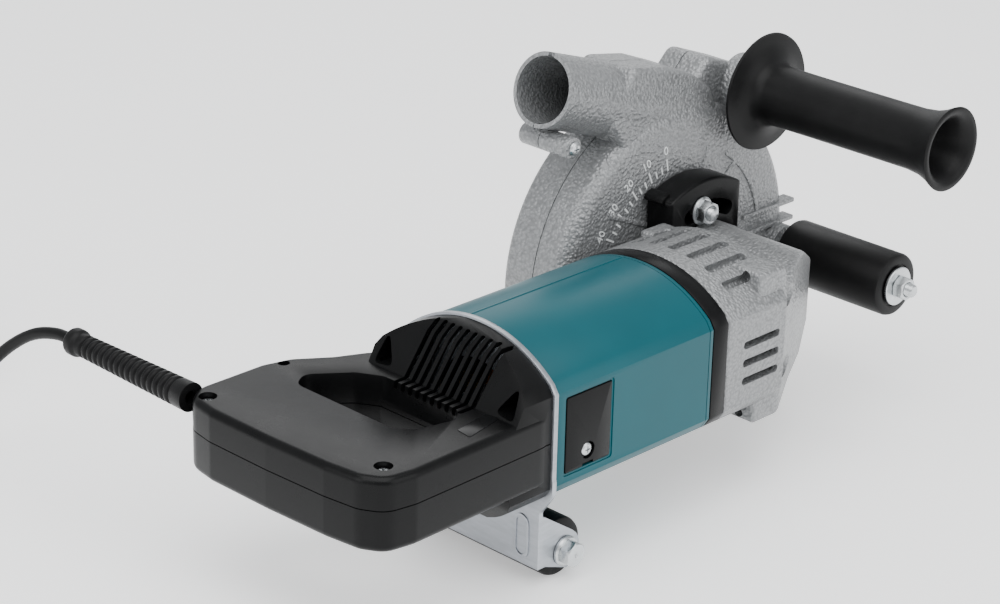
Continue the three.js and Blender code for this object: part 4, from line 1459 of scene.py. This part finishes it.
# ---- Shield plate and rear roller ----
@dataclass
class ShieldPlate:
    """Zinc-plated sheet between housing and handle, bent down into the rear roller's ears."""

    rear: float = -231.6
    front: float = -228.6
    thick: float = 2.6
    bottom: float = -78.0
    ear: float = 48.5
    axle: tuple[float, float] = (-210.8, -73.0)
    radius: float = 17.0
    boss_y: float = 36.0
    boss_z: tuple[float, float] = (-69.0, -54.0)

    def oval(self, radius: float) -> Outline:
        """An upright oval on the right leg."""
        low, high = self.boss_z
        return [
            *arc((-self.boss_y, high), radius, 0, 180, 12), *arc((-self.boss_y, low), radius, 180, 360, 12),
        ]

    def build(self, store: Store) -> None:
        """Plate, roller, bolt and nut."""
        self.sheet(store)
        roller = Roller(self.axle, (-44.0, 44.0), self.radius).build("rear_sleeve")
        store.book(roller, "black_rubber", "rear_roller", ["rear_roller"])
        self.fastening(store)

    def sheet(self, store: Store) -> None:
        """The sheet: the motor's section, its legs, its two ears and an oval boss on each leg."""
        edge = SECTION.half_width + 1.6
        plate = Bench.prism("shield_sheet", SECTION.outline(-1.2), Axis.X, self.rear, self.front)
        legs = Bench.prism("legs", rounded([
            (-edge, -20), (-edge, -31), (-self.ear, -44), (-self.ear, self.bottom), (self.ear, self.bottom),
            (self.ear, -44), (edge, -31), (edge, -20),
        ], 3.5, 4), Axis.X, self.rear, self.front)
        x, z = self.axle
        ear = [(self.rear, -46), (self.rear + 5, -48), (x + 6, z + 10), *arc((x, z), 11.5, 40, -80, 10),
               (self.rear + 6, self.bottom), (self.rear, self.bottom)]
        low = Bench.prism("ear", ear, Axis.Y, -self.ear, self.thick - self.ear)
        high = Bench.prism("ear", ear, Axis.Y, self.ear - self.thick, self.ear)
        plate = Bench.weld(plate, legs, low, high)
        Bench.cut(plate, Bench.rod("centre", Axis.X, (0, 0), 30, self.rear - 2, self.front + 2, 72))
        Bench.soften(plate, 0.55, 2, 50)
        emboss = Bench.prism("emboss", self.oval(5.6), Axis.X, self.rear - 0.7, self.rear + 0.6)
        dish = Bench.prism("dish", self.oval(3.6), Axis.X, self.rear - 1.2, self.rear + 0.9)
        emboss = Bench.soften(Bench.cut(emboss, dish), 0.5, 2, 50)
        mirror = Bench.twin(emboss, "emboss_left", (0, 2 * self.boss_y, 0))
        plate = Bench.group("shield_sheet", plate, emboss, mirror)
        Bench.soften(plate, 0.0, sharpest=40)
        store.book(plate, "zinc_sheet", "motor_unit", ["roller_bracket"])

    def fastening(self, store: Store) -> None:
        """The roller's bolt, with its flanged head, and the nut."""
        bolt = Bench.lathe("rear_bolt_shank", [
            (0, -self.ear - 3), (4, -self.ear - 3), (4, 56.4), (3.2, 57.4), (0, 57.4),
        ], Axis.Y, self.axle, 40)
        head = Hardware.nut("rear_bolt_head", self.axle, 7.4, -self.ear - 9, -self.ear - 2.4, 0.4)
        flange = Bench.lathe("flange", [
            (0, -self.ear - 2.6), (7.8, -self.ear - 2.6), (8.6, -self.ear - 1.6), (8.6, -self.ear - 0.35),
            (0, -self.ear - 0.35),
        ], Axis.Y, self.axle, 48)
        bolt = Bench.soften(Bench.weld(head, bolt, flange), 0.0)
        bolt.name = "rear_bolt"
        store.book(bolt, "zinc", "motor_unit", ["rear_axle_bolt"])
        nut = Hardware.nut("rear_nut", self.axle, 7.4, self.ear + 0.35, self.ear + 7, 4.05)
        store.book(nut, "zinc", "motor_unit", ["rear_axle_nut"])


# ---- Rear handle ----
def offset(outline: Outline, distance: float) -> Outline:
    """An outline moved inward along its corners' normals.

    Args:
        outline: points in order, either way round.
        distance: how far inward; negative moves outward.

    Returns:
        The moved outline.
    """
    count = len(outline)
    area = sum(outline[i][0] * outline[(i + 1) % count][1] - outline[(i + 1) % count][0] * outline[i][1]
               for i in range(count))
    sense = 1.0 if area > 0 else -1.0
    moved: Outline = []
    for i, spot in enumerate(outline):
        ahead = (Vector(outline[(i + 1) % count]) - Vector(spot)).normalized()
        back = (Vector(spot) - Vector(outline[i - 1])).normalized()
        along = (ahead + back).normalized()
        reach = distance / max(along.dot(ahead), 0.5)
        moved.append((spot[0] - along.y * reach * sense, spot[1] + along.x * reach * sense))
    return moved


@dataclass
class RearHandle:
    """Closed D handle in two shells, with vents on its bell, trigger, lock button and screws."""

    front: float = -231.9
    top: float = 18.0
    bottom: float = -24.0
    round_over: float = 12.0
    wall: float = 3.4
    bell_back: float = -266.0
    vent_count: int = 10
    vent_pitch: float = 5.6
    vent_start: float = -24.0
    vent_half: float = 1.5
    seam_half: float = 0.3
    cover_screw: tuple[float, float] = (-293.0, 85.0)
    lock_at: tuple[float, float] = (57.0, -5.0)
    grip_screws: tuple[tuple[str, float, float], ...] = (("left", -350.0, 80.0), ("right", -339.0, -42.0))
    bell_screw: tuple[float, float] = (46.0, 27.0)
    edge: Outline = field(default_factory=lambda: [
        (-226, -56.5), (-331, -58), (-349, -55), (-356.5, -42), (-359.3, -20), (-361, 22), (-361, 66),
        (-358, 85), (-346, 93.5), (-302, 93.5), (-285, 89), (-266, 75.5), (-248, 67), (-238, 57.5),
        (-226, 56.5),
    ])
    loop: Outline = field(default_factory=lambda: [
        (-306, -13), (-298, -23), (-276, -28), (-266, -22), (-265, 36), (-273, 50), (-295, 67), (-306, 60),
    ])

    def slab(self, inset: float) -> bpy.types.Object:
        """The flat D, rounded over all round, with its finger loop."""
        outer = rounded(self.edge, 16, 7)
        inner = rounded(self.loop, 9, 6)
        if inset > 0:
            outer, inner = offset(outer, inset), offset(inner, -inset)
        low, high = self.bottom + inset, self.top - inset
        body = Bench.prism("slab", outer, Axis.Z, low, high)
        Bench.soften(body, self.round_over - inset * 0.8, 6 if inset == 0 else 3, 60)
        Bench.cut(body, Bench.prism("loop", inner, Axis.Z, low - 5, high + 5))
        return Bench.soften(body, 1.5, 2, 70) if inset == 0 else body

    def bell(self, inset: float) -> bpy.types.Object:
        """The bell that flares to the motor's section."""
        crown = SECTION.arch_radius() - SECTION.flat_half - inset
        side = [
            (self.front, -crown), (self.front - 20, inset - 46), (-262 + inset, -28),
            (self.bell_back + inset, -4),
            (self.bell_back + inset, 3), (-261 + inset, 12), (self.front - 13, 43 - inset),
            (self.front - 7, crown - 3), (self.front, crown),
        ]
        body = Bench.prism("bell", side, Axis.Y, -70, 70)
        section = Bench.prism("section", SECTION.outline(inset), Axis.X, self.bell_back - 8, self.front)
        Bench.keep(body, section)
        return Bench.soften(body, 3.2, 3, 28) if inset == 0 else body

    def body(self, inset: float) -> bpy.types.Object:
        """Slab and bell as one solid, ending flat at the shield plate."""
        whole = Bench.weld(self.bell(inset), self.slab(inset))
        face = self.front + (1 if inset > 0 else 0)
        trimmed = Bench.keep(whole, Bench.block("trim", (-400, -150, -80), (face, 150, 80)))
        if inset > 0:
            Bench.weld(trimmed, Bench.prism("mouth", SECTION.outline(inset + 0.6), Axis.X, self.front - 3,
                                            self.front + 3))
        return trimmed

    def openings(self) -> list[bpy.types.Object]:
        """Cutters for vents, trigger, lock button, cord entry and screw wells."""
        slot = Bench.block("vent", (-262, -self.vent_half, 8), (-236, self.vent_half, 52))
        Bench.soften(slot, 1.2, 2)
        Bench.swing(slot, Axis.Y, 24, (-249, 0, 30))
        Bench.swing(slot, Axis.X, 9, (0, 0, 20))
        cutters = []
        for i in range(self.vent_count):
            shift = i * self.vent_pitch + self.vent_start
            cutters.append(Bench.twin(slot, "vent_at", (0, shift, 0)))
        bpy.data.objects.remove(slot, do_unlink=True)
        cutters.append(Bench.block("paddle_slot", (-318, -9.2, -16.2), (-297, 47.2, 6.2)))
        cutters.append(Bench.rod("lock_hole", Axis.X, self.lock_at, 4.8, -320, -298, 40))
        cord_at = (CordPath.guard_x, CordPath.guard_z - 9)
        cutters.append(Bench.rod("cord_hole", Axis.Y, cord_at, 7, 80, 100, 40))
        for _, x, y in self.grip_screws:
            cutters.append(Bench.rod("well", Axis.Z, (x, y), 5.0, self.top - 5, self.top + 6, 40))
        cutters.append(Bench.rod("well", Axis.Z, self.cover_screw, 3.4, self.top - 6, self.top + 6, 32))
        y, z = self.bell_screw
        for side in Side:
            well = [(side.value * (y + dy), z + dz) for dy, dz in ((-7.5, -7), (6.5, -8.5), (3, 9))]
            cutters.append(Bench.prism("recess", rounded(well, 2.6, 4), Axis.X, -262, self.front - 5))
        return cutters

    def build(self, store: Store) -> None:
        """Both shells, screws, trigger, lock button and badge."""
        self.shells(store)
        self.screws(store)
        self.controls(store)

    def shells(self, store: Store) -> None:
        """The hollow D, with its screw bosses and openings, parted into two shells."""
        shell = self.body(0.0)
        core = self.body(self.wall)
        bosses = [Bench.rod("boss", Axis.Z, (x, y), 6.8, -30, 30, 40) for _, x, y in self.grip_screws]
        y, z = self.bell_screw
        for side in Side:
            bosses.append(Bench.rod("boss", Axis.X, (side.value * y, z), 9, self.front - 30, self.front, 40))
        bosses.append(Bench.rod("boss", Axis.Z, self.cover_screw, 5, 5, 30, 32))
        Bench.cut(core, *bosses)
        Bench.cut(shell, core)
        Bench.cut(shell, *self.openings())
        lower = Bench.twin(shell, "lower_shell", (0, 0, 0))
        shell.name = "upper_shell"
        Bench.keep(shell, Bench.block("above", (-400, -150, self.seam_half), (0, 150, 90)))
        Bench.keep(lower, Bench.block("below", (-400, -150, -90), (0, 150, -self.seam_half)))
        for half, node in ((shell, "handle_upper_shell"), (lower, "handle_lower_shell")):
            Bench.soften(half, 0.0, sharpest=32)
            store.book(half, "black_plastic", "motor_unit", [node])

    def screws(self, store: Store) -> None:
        """The shells' screws: two down through the grip, two forward through the bell."""
        for label, x, y in self.grip_screws:
            screw = Screw(4.0, 2.4, 1.6).build(f"{label}_shell_screw", Axis.Z, (x, y), self.top - 4.6, 1.0)
            store.book(screw, "zinc", "motor_unit", [f"{label}_grip_screw"])
        y, z = self.bell_screw
        for side in Side:
            label = side.name.lower()
            screw = Screw(4.6, 2.8, 1.8).build(f"{label}_collar_screw", Axis.X, (side.value * y, z),
                                               self.front - 5.2, -1.0)
            store.book(screw, "zinc", "motor_unit", [f"{label}_bell_screw"])

    def controls(self, store: Store) -> None:
        """Trigger paddle, lock button and a plain badge."""
        paddle = Bench.prism("trigger_paddle", rounded([
            (-311, -8), (-302, -8), (-299, -1), (-300.6, 19), (-299, 39), (-302, 46), (-311, 46),
        ], 3, 4), Axis.Z, -15, 5)
        Bench.soften(paddle, 1.6, 3, 50)
        store.book(paddle, "black_gloss", "trigger", ["trigger"])
        button = Bench.lathe("lock_stud", [
            (0, -309.9), (4.5, -309.9), (4.5, -303.2), (3.9, -302.2), (2.5, -302.6), (0, -302.9),
        ], Axis.X, self.lock_at, 40)
        Bench.soften(button, 0.0)
        store.book(button, "black_gloss", "lock_button", ["lock_button"])
        badge = Bench.prism("blank_badge", rounded([
            (-283.4, -37.6), (-258.8, -34.0), (-257.3, -42.8), (-284.7, -48.4),
        ], 1.2, 3), Axis.Z, self.top - 0.6, self.top + 0.35)
        Bench.soften(badge, 0.25, 2, 50)
        store.book(badge, "black_gloss", "motor_unit")


# ---- Mains lead ----
@dataclass
class CordPath:
    """Route of the lead: out of the guard, down to the floor, round the stored coil and into the plug."""

    guard_x: float = -350.0
    guard_z: float = 12.5
    guard_root: float = 93.8
    guard_tip: float = 195.0
    floor: float = -90.0
    radius: float = 3.45
    pitch: float = 7.0
    coil: tuple[float, float] = (-337.0, 413.0)
    turn_radius: float = 41.0
    layers: int = 4
    turns: float = 14.25
    per_turn: int = 40
    plug_reach: float = 33.0
    plug_height: float = 16.0

    def wound(self) -> list[tuple[float, float, float]]:
        """Centres of the coil, from its outer bottom turn inward, outward, inward and outward again."""
        outer = self.turn_radius + self.pitch * (self.layers - 1) / 2
        inner = outer - self.pitch * (self.layers - 1)
        run = self.layers - 1.0
        change = (self.turns - run * self.layers) / (self.layers - 1)
        low = self.floor + self.pitch / 2
        points = []
        count = round(self.turns * self.per_turn)
        for i in range(count + 1):
            turned = i / count * self.turns
            layer = min(int(turned / (run + change)), self.layers - 1)
            within = turned - layer * (run + change)
            radial = min(within / run, 1.0)
            start, end = (outer, inner) if layer % 2 == 0 else (inner, outer)
            climb = max(0.0, (within - run) / change) if layer < self.layers - 1 else 0.0
            climb = climb * climb * (3 - 2 * climb)
            radius = start + (end - start) * radial
            angle = math.pi - 2 * math.pi * turned
            height = low + (layer + climb) * self.pitch
            x = self.coil[0] + radius * math.cos(angle)
            y = self.coil[1] + radius * math.sin(angle)
            points.append((x, y, height))
        return points

    def lead(self) -> list[tuple[float, float, float]]:
        """Points from the guard's tip to where the coil begins."""
        x = self.coil[0] - self.turn_radius - self.pitch * (self.layers - 1) / 2
        rest = self.floor + self.pitch / 2
        return [
            (self.guard_x, self.guard_tip, self.guard_z), (self.guard_x - 0.3, 208, 12), (-352.5, 226, 7),
            (-356, 243, -4), (-361, 260, -21), (-366, 276, -41), (-371, 293, -62), (-378, 313, -79),
            (x + 3, 334, rest + 0.6), (x + 0.5, 350, rest), (x, 366, rest), (x, 390, rest),
        ]

    def tail(self) -> list[tuple[float, float, float]]:
        """Points from the coil's last turn into the plug."""
        y = self.coil[1] + self.turn_radius + self.pitch * (self.layers - 1) / 2
        top = self.floor + self.pitch * (self.layers - 0.5)
        plug = self.floor + self.plug_height
        x = self.coil[0]
        return [(x + 8, y, top - 0.6), (x + 16, y, top - 3), (x + 24, y, plug + 1.2), (x + 30, y, plug + 0.1),
                (x + self.plug_reach + 3, y, plug)]

    def spline(self, points: Sequence[Point], steps: int) -> list[Vector]:
        """A smooth centripetal curve through points.

        Args:
            points: what it passes through.
            steps: chords to each span.

        Returns:
            The finer points.
        """
        spots = [Vector(p) for p in points]
        spots = [spots[0] * 2 - spots[1], *spots, spots[-1] * 2 - spots[-2]]
        fine = []
        for a, b, c, d in zip(spots, spots[1:], spots[2:], spots[3:]):
            knots = [0.0]
            for near, far in ((a, b), (b, c), (c, d)):
                knots.append(knots[-1] + max((far - near).length, 1e-6) ** 0.5)
            t0, t1, t2, t3 = knots
            for i in range(steps):
                t = t1 + (t2 - t1) * i / steps
                a1 = a * ((t1 - t) / (t1 - t0)) + b * ((t - t0) / (t1 - t0))
                a2 = b * ((t2 - t) / (t2 - t1)) + c * ((t - t1) / (t2 - t1))
                a3 = c * ((t3 - t) / (t3 - t2)) + d * ((t - t2) / (t3 - t2))
                b1 = a1 * ((t2 - t) / (t2 - t0)) + a2 * ((t - t0) / (t2 - t0))
                b2 = a2 * ((t3 - t) / (t3 - t1)) + a3 * ((t - t1) / (t3 - t1))
                fine.append(b1 * ((t2 - t) / (t2 - t1)) + b2 * ((t - t1) / (t2 - t1)))
        fine.append(spots[-2])
        return fine

    def whole(self) -> list[Vector]:
        """Every point of the route, in metres."""
        lead = self.spline(self.lead(), 5)[:-1]
        coil = [Vector(p) for p in self.wound()]
        lead = lead + self.spline([lead[-1], coil[0]], 3)[1:-1]
        tail = self.spline([coil[-1], *self.tail()], 4)[1:]
        return [world(p) for p in [*lead, *coil, *tail]]


@dataclass
class MainsLead:
    """Guard, lead, strap and plug."""

    path: CordPath = field(default_factory=CordPath)

    def build(self, store: Store) -> None:
        """All of the lead."""
        guard = self.guard()
        store.book(guard, "black_rubber", "motor_unit", ["cord_guard"])
        plug = self.plug()
        store.book(plug, "cord_rubber", "motor_unit", ["mains_plug"])
        strap = self.strap()
        store.book(strap, "strap_black", "motor_unit", ["coil_tie"])
        self.cord(store, plug, strap)

    def guard(self) -> bpy.types.Object:
        """Ribbed bend guard, tapered towards its tip."""
        p = self.path
        span = p.guard_tip - p.guard_root
        profile: Outline = [(3.9, p.guard_root), (8.2, p.guard_root)]
        ribs = 17
        for i in range(ribs):
            y = p.guard_root + 9 + i * (span - 20) / ribs
            r = 8.2 - 1.9 * (y - p.guard_root) / span
            profile += [(r, y), (r - 0.25, y + 0.4), (r - 1.0, y + 0.9), (r - 1.0, y + 2.1),
                        (r - 0.25, y + 2.6), (r, y + 3.0)]
        tip = p.guard_tip
        profile += [(6.3, tip - 9), (6.6, tip - 8), (7.7, tip - 7), (7.9, tip - 6), (7.9, tip - 2),
                    (7.4, tip - 0.8), (6.4, tip), (3.9, tip)]
        guard = Bench.lathe("bend_guard", profile, Axis.Y, (p.guard_x, p.guard_z), 48)
        return Bench.soften(guard, 0.0, sharpest=50)

    def plug(self) -> bpy.types.Object:
        """Moulded two-pin plug with a ribbed sleeve."""
        p = self.path
        x0 = p.coil[0] + p.plug_reach
        y = p.coil[1] + p.turn_radius + p.pitch * (p.layers - 1) / 2
        z = p.floor + p.plug_height
        profile: Outline = [(3.5, x0), (5.2, x0)]
        for i in range(4):
            x = x0 + 2 + i * 3.6
            grow = i * 0.25
            profile += [(5.3 + grow, x), (4.7 + grow, x + 0.6), (4.7 + grow, x + 1.6), (5.4 + grow, x + 2.2)]
        profile += [(6.6, x0 + 17), (9, x0 + 20), (12.5, x0 + 23), (14.6, x0 + 28), (15.8, x0 + 34),
                    (15.9, x0 + 49), (15, x0 + 51.4), (13.4, x0 + 52), (3.5, x0 + 52)]
        body = Bench.lathe("mains_end", profile, Axis.X, (y, z), 64)
        pin = [(0, x0 + 46), (2.4, x0 + 46), (2.4, x0 + 69.4), (1.6, x0 + 70.8), (0, x0 + 71)]
        pins = [Bench.lathe("pin", pin, Axis.X, (y + side.value * 9.5, z), 24) for side in Side]
        face = Bench.rod("face", Axis.X, (y, z), 13, x0 + 44, x0 + 51.6, 48)
        return Bench.soften(Bench.weld(body, face, *pins), 0.0, sharpest=40)

    def strap(self) -> bpy.types.Object:
        """Hook-and-loop strap round the coil's section."""
        p = self.path
        half = p.pitch * p.layers / 2
        x = p.coil[0] + p.turn_radius
        y = p.coil[1]
        low, high = p.floor + 0.35, p.floor + 2 * half

        def band(grow: float) -> Outline:
            """The section's outline grown by a margin."""
            base = low if grow > 0.5 else low - 3
            return rounded([(x - half - grow, base), (x + half + grow, base), (x + half + grow, high + grow),
                            (x - half - grow, high + grow)], 1.6 + grow, 4)

        strap = Bench.prism("coil_strap", band(1.9), Axis.Y, y - 4, y + 4)
        Bench.cut(strap, Bench.prism("hole", band(0.45), Axis.Y, y - 6, y + 6))
        return Bench.soften(strap, 0.3, 2, 50)

    def cord(self, store: Store, plug: bpy.types.Object, strap: bpy.types.Object) -> None:
        """The lead itself: one curve of constant thickness.

        Args:
            store: where pieces are booked.
            plug: the plug on its end; not used.
            strap: the strap round its coil; not used.
        """
        points = self.path.whole()
        Bench.release()
        bpy.ops.curve.primitive_nurbs_path_add(location=(0, 0, 0))
        cord = bpy.context.view_layer.objects.active
        cord.name = "mains_cord"
        line = cord.data
        line.splines.clear()
        spline = line.splines.new("POLY")
        spline.points.add(len(points) - 1)
        for knot, place in zip(spline.points, points):
            knot.co = (*place, 1)
        line.dimensions = "3D"
        line.bevel_depth = self.path.radius * MM
        line.bevel_resolution = 3
        line.use_fill_caps = True
        spline.use_smooth = True
        store.stock.dress(cord, "cord_rubber")
        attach(cord, "motor_unit")
        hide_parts("power_cord", "cord_coil")
        p = self.path
        2 * p.radius * MM


# ---- Inner pieces, stage and camera ----
INNER_FINISHES: dict[str, str] = {
    "stator_core": "sheet_iron", "armature": "sheet_iron", "upper_field_coil": "enamelled_copper",
    "lower_field_coil": "enamelled_copper", "rotor_shaft": "turned_steel", "cooling_fan": "cast_aluminium",
    "commutator": "bare_copper", "rear_bearing": "turned_steel", "front_bearing": "turned_steel",
    "right_brush_holder": "brass", "left_brush_holder": "brass", "right_carbon_brush": "carbon",
    "left_carbon_brush": "carbon", "spindle": "turned_steel", "crown_gear": "turned_steel",
    "spindle_end_bearing": "turned_steel", "spindle_main_bearing": "turned_steel",
    "inner_flange": "turned_steel", "blade_spacer": "turned_steel", "switch_body": "black_plastic",
}


@dataclass
class Studio:
    """Camera, floor and lights."""

    camera_at: Point = (-1213.0, -966.3, 646.9)
    azimuth: float = -45.92
    elevation: float = 22.98
    roll: float = 1.39
    lens: float = 102.5
    sensor: float = 36.0
    floor_size: float = 30.0
    sky_colour: tuple[float, float, float, float] = (0.93, 0.95, 0.97, 1)
    sky_strength: float = 0.8

    def camera(self) -> None:
        """The camera at its viewing angle, with everything in focus."""
        a, e, r = (math.radians(v) for v in (self.azimuth, self.elevation, self.roll))
        back = Vector((math.sin(a) * math.cos(e), -math.cos(a) * math.cos(e), math.sin(e)))
        right = (-back).cross(Vector((0, 0, 1))).normalized()
        up = right.cross(-back)
        turned_right = right * math.cos(r) + up * math.sin(r)
        turned_up = up * math.cos(r) - right * math.sin(r)
        Bench.release()
        bpy.ops.object.camera_add()
        camera = bpy.context.view_layer.objects.active
        facing = Matrix((turned_right, turned_up, back)).transposed()
        camera.matrix_world = Matrix.Translation(world(self.camera_at)) @ facing.to_4x4()
        camera.data.lens = self.lens
        camera.data.sensor_width = self.sensor
        camera.data.clip_end = 60.0
        camera.data.dof.use_dof = False
        bpy.context.scene.camera = camera

    def floor(self, stock: Stock) -> None:
        """A plain pale floor."""
        Bench.release()
        bpy.ops.mesh.primitive_plane_add(size=self.floor_size, location=(0, 0, 0))
        floor = Bench.settle("floor")
        stock.dress(floor, "studio_floor")

    def lights(self) -> None:
        """Soft boxes above, in front and behind, and a pale surrounding."""
        boxes = [
            ((-0.6, -0.5, 2.2), (0.0, 0.0, 0.0), 2.4, 62.0),
            ((-2.4, 0.4, 1.3), (0.0, 0.0, 0.1), 1.6, 20.0),
            ((0.6, -2.3, 1.2), (0.0, 0.0, 0.1), 1.8, 22.0),
            ((1.6, 1.8, 1.8), (0.0, 0.0, 0.0), 1.6, 16.0),
        ]
        for place, aim, size, power in boxes:
            Bench.release()
            bpy.ops.object.light_add(type="AREA", location=place)
            lamp = bpy.context.view_layer.objects.active
            lamp.data.size = size
            lamp.data.energy = power
            lamp.rotation_euler = (Vector(place) - Vector(aim)).to_track_quat("Z", "Y").to_euler()
        sky = bpy.data.worlds.new("studio")
        sky.use_nodes = True
        backdrop = sky.node_tree.nodes["Background"]
        backdrop.inputs["Color"].default_value = self.sky_colour
        backdrop.inputs["Strength"].default_value = self.sky_strength
        bpy.context.scene.world = sky


def main() -> None:
    """Build the tool's looks round its frame."""
    logging.basicConfig(level=logging.INFO, format="%(message)s")
    studio = Studio()
    studio.camera()
    stock = Stock()
    store = Store(stock)
    MainsLead().build(store)
    sections = (
        MotorHousing(), GearCase(), DepthClamp(), Hood(), Blades(), Fittings(), ShieldPlate(), RearHandle(),
    )
    for section in sections:
        section.build(store)
    for node, finish in INNER_FINISHES.items():
        stock.dress(frame["nodes"][node], finish)
    studio.floor(stock)
    studio.lights()


if __name__ == "__main__":
    main()
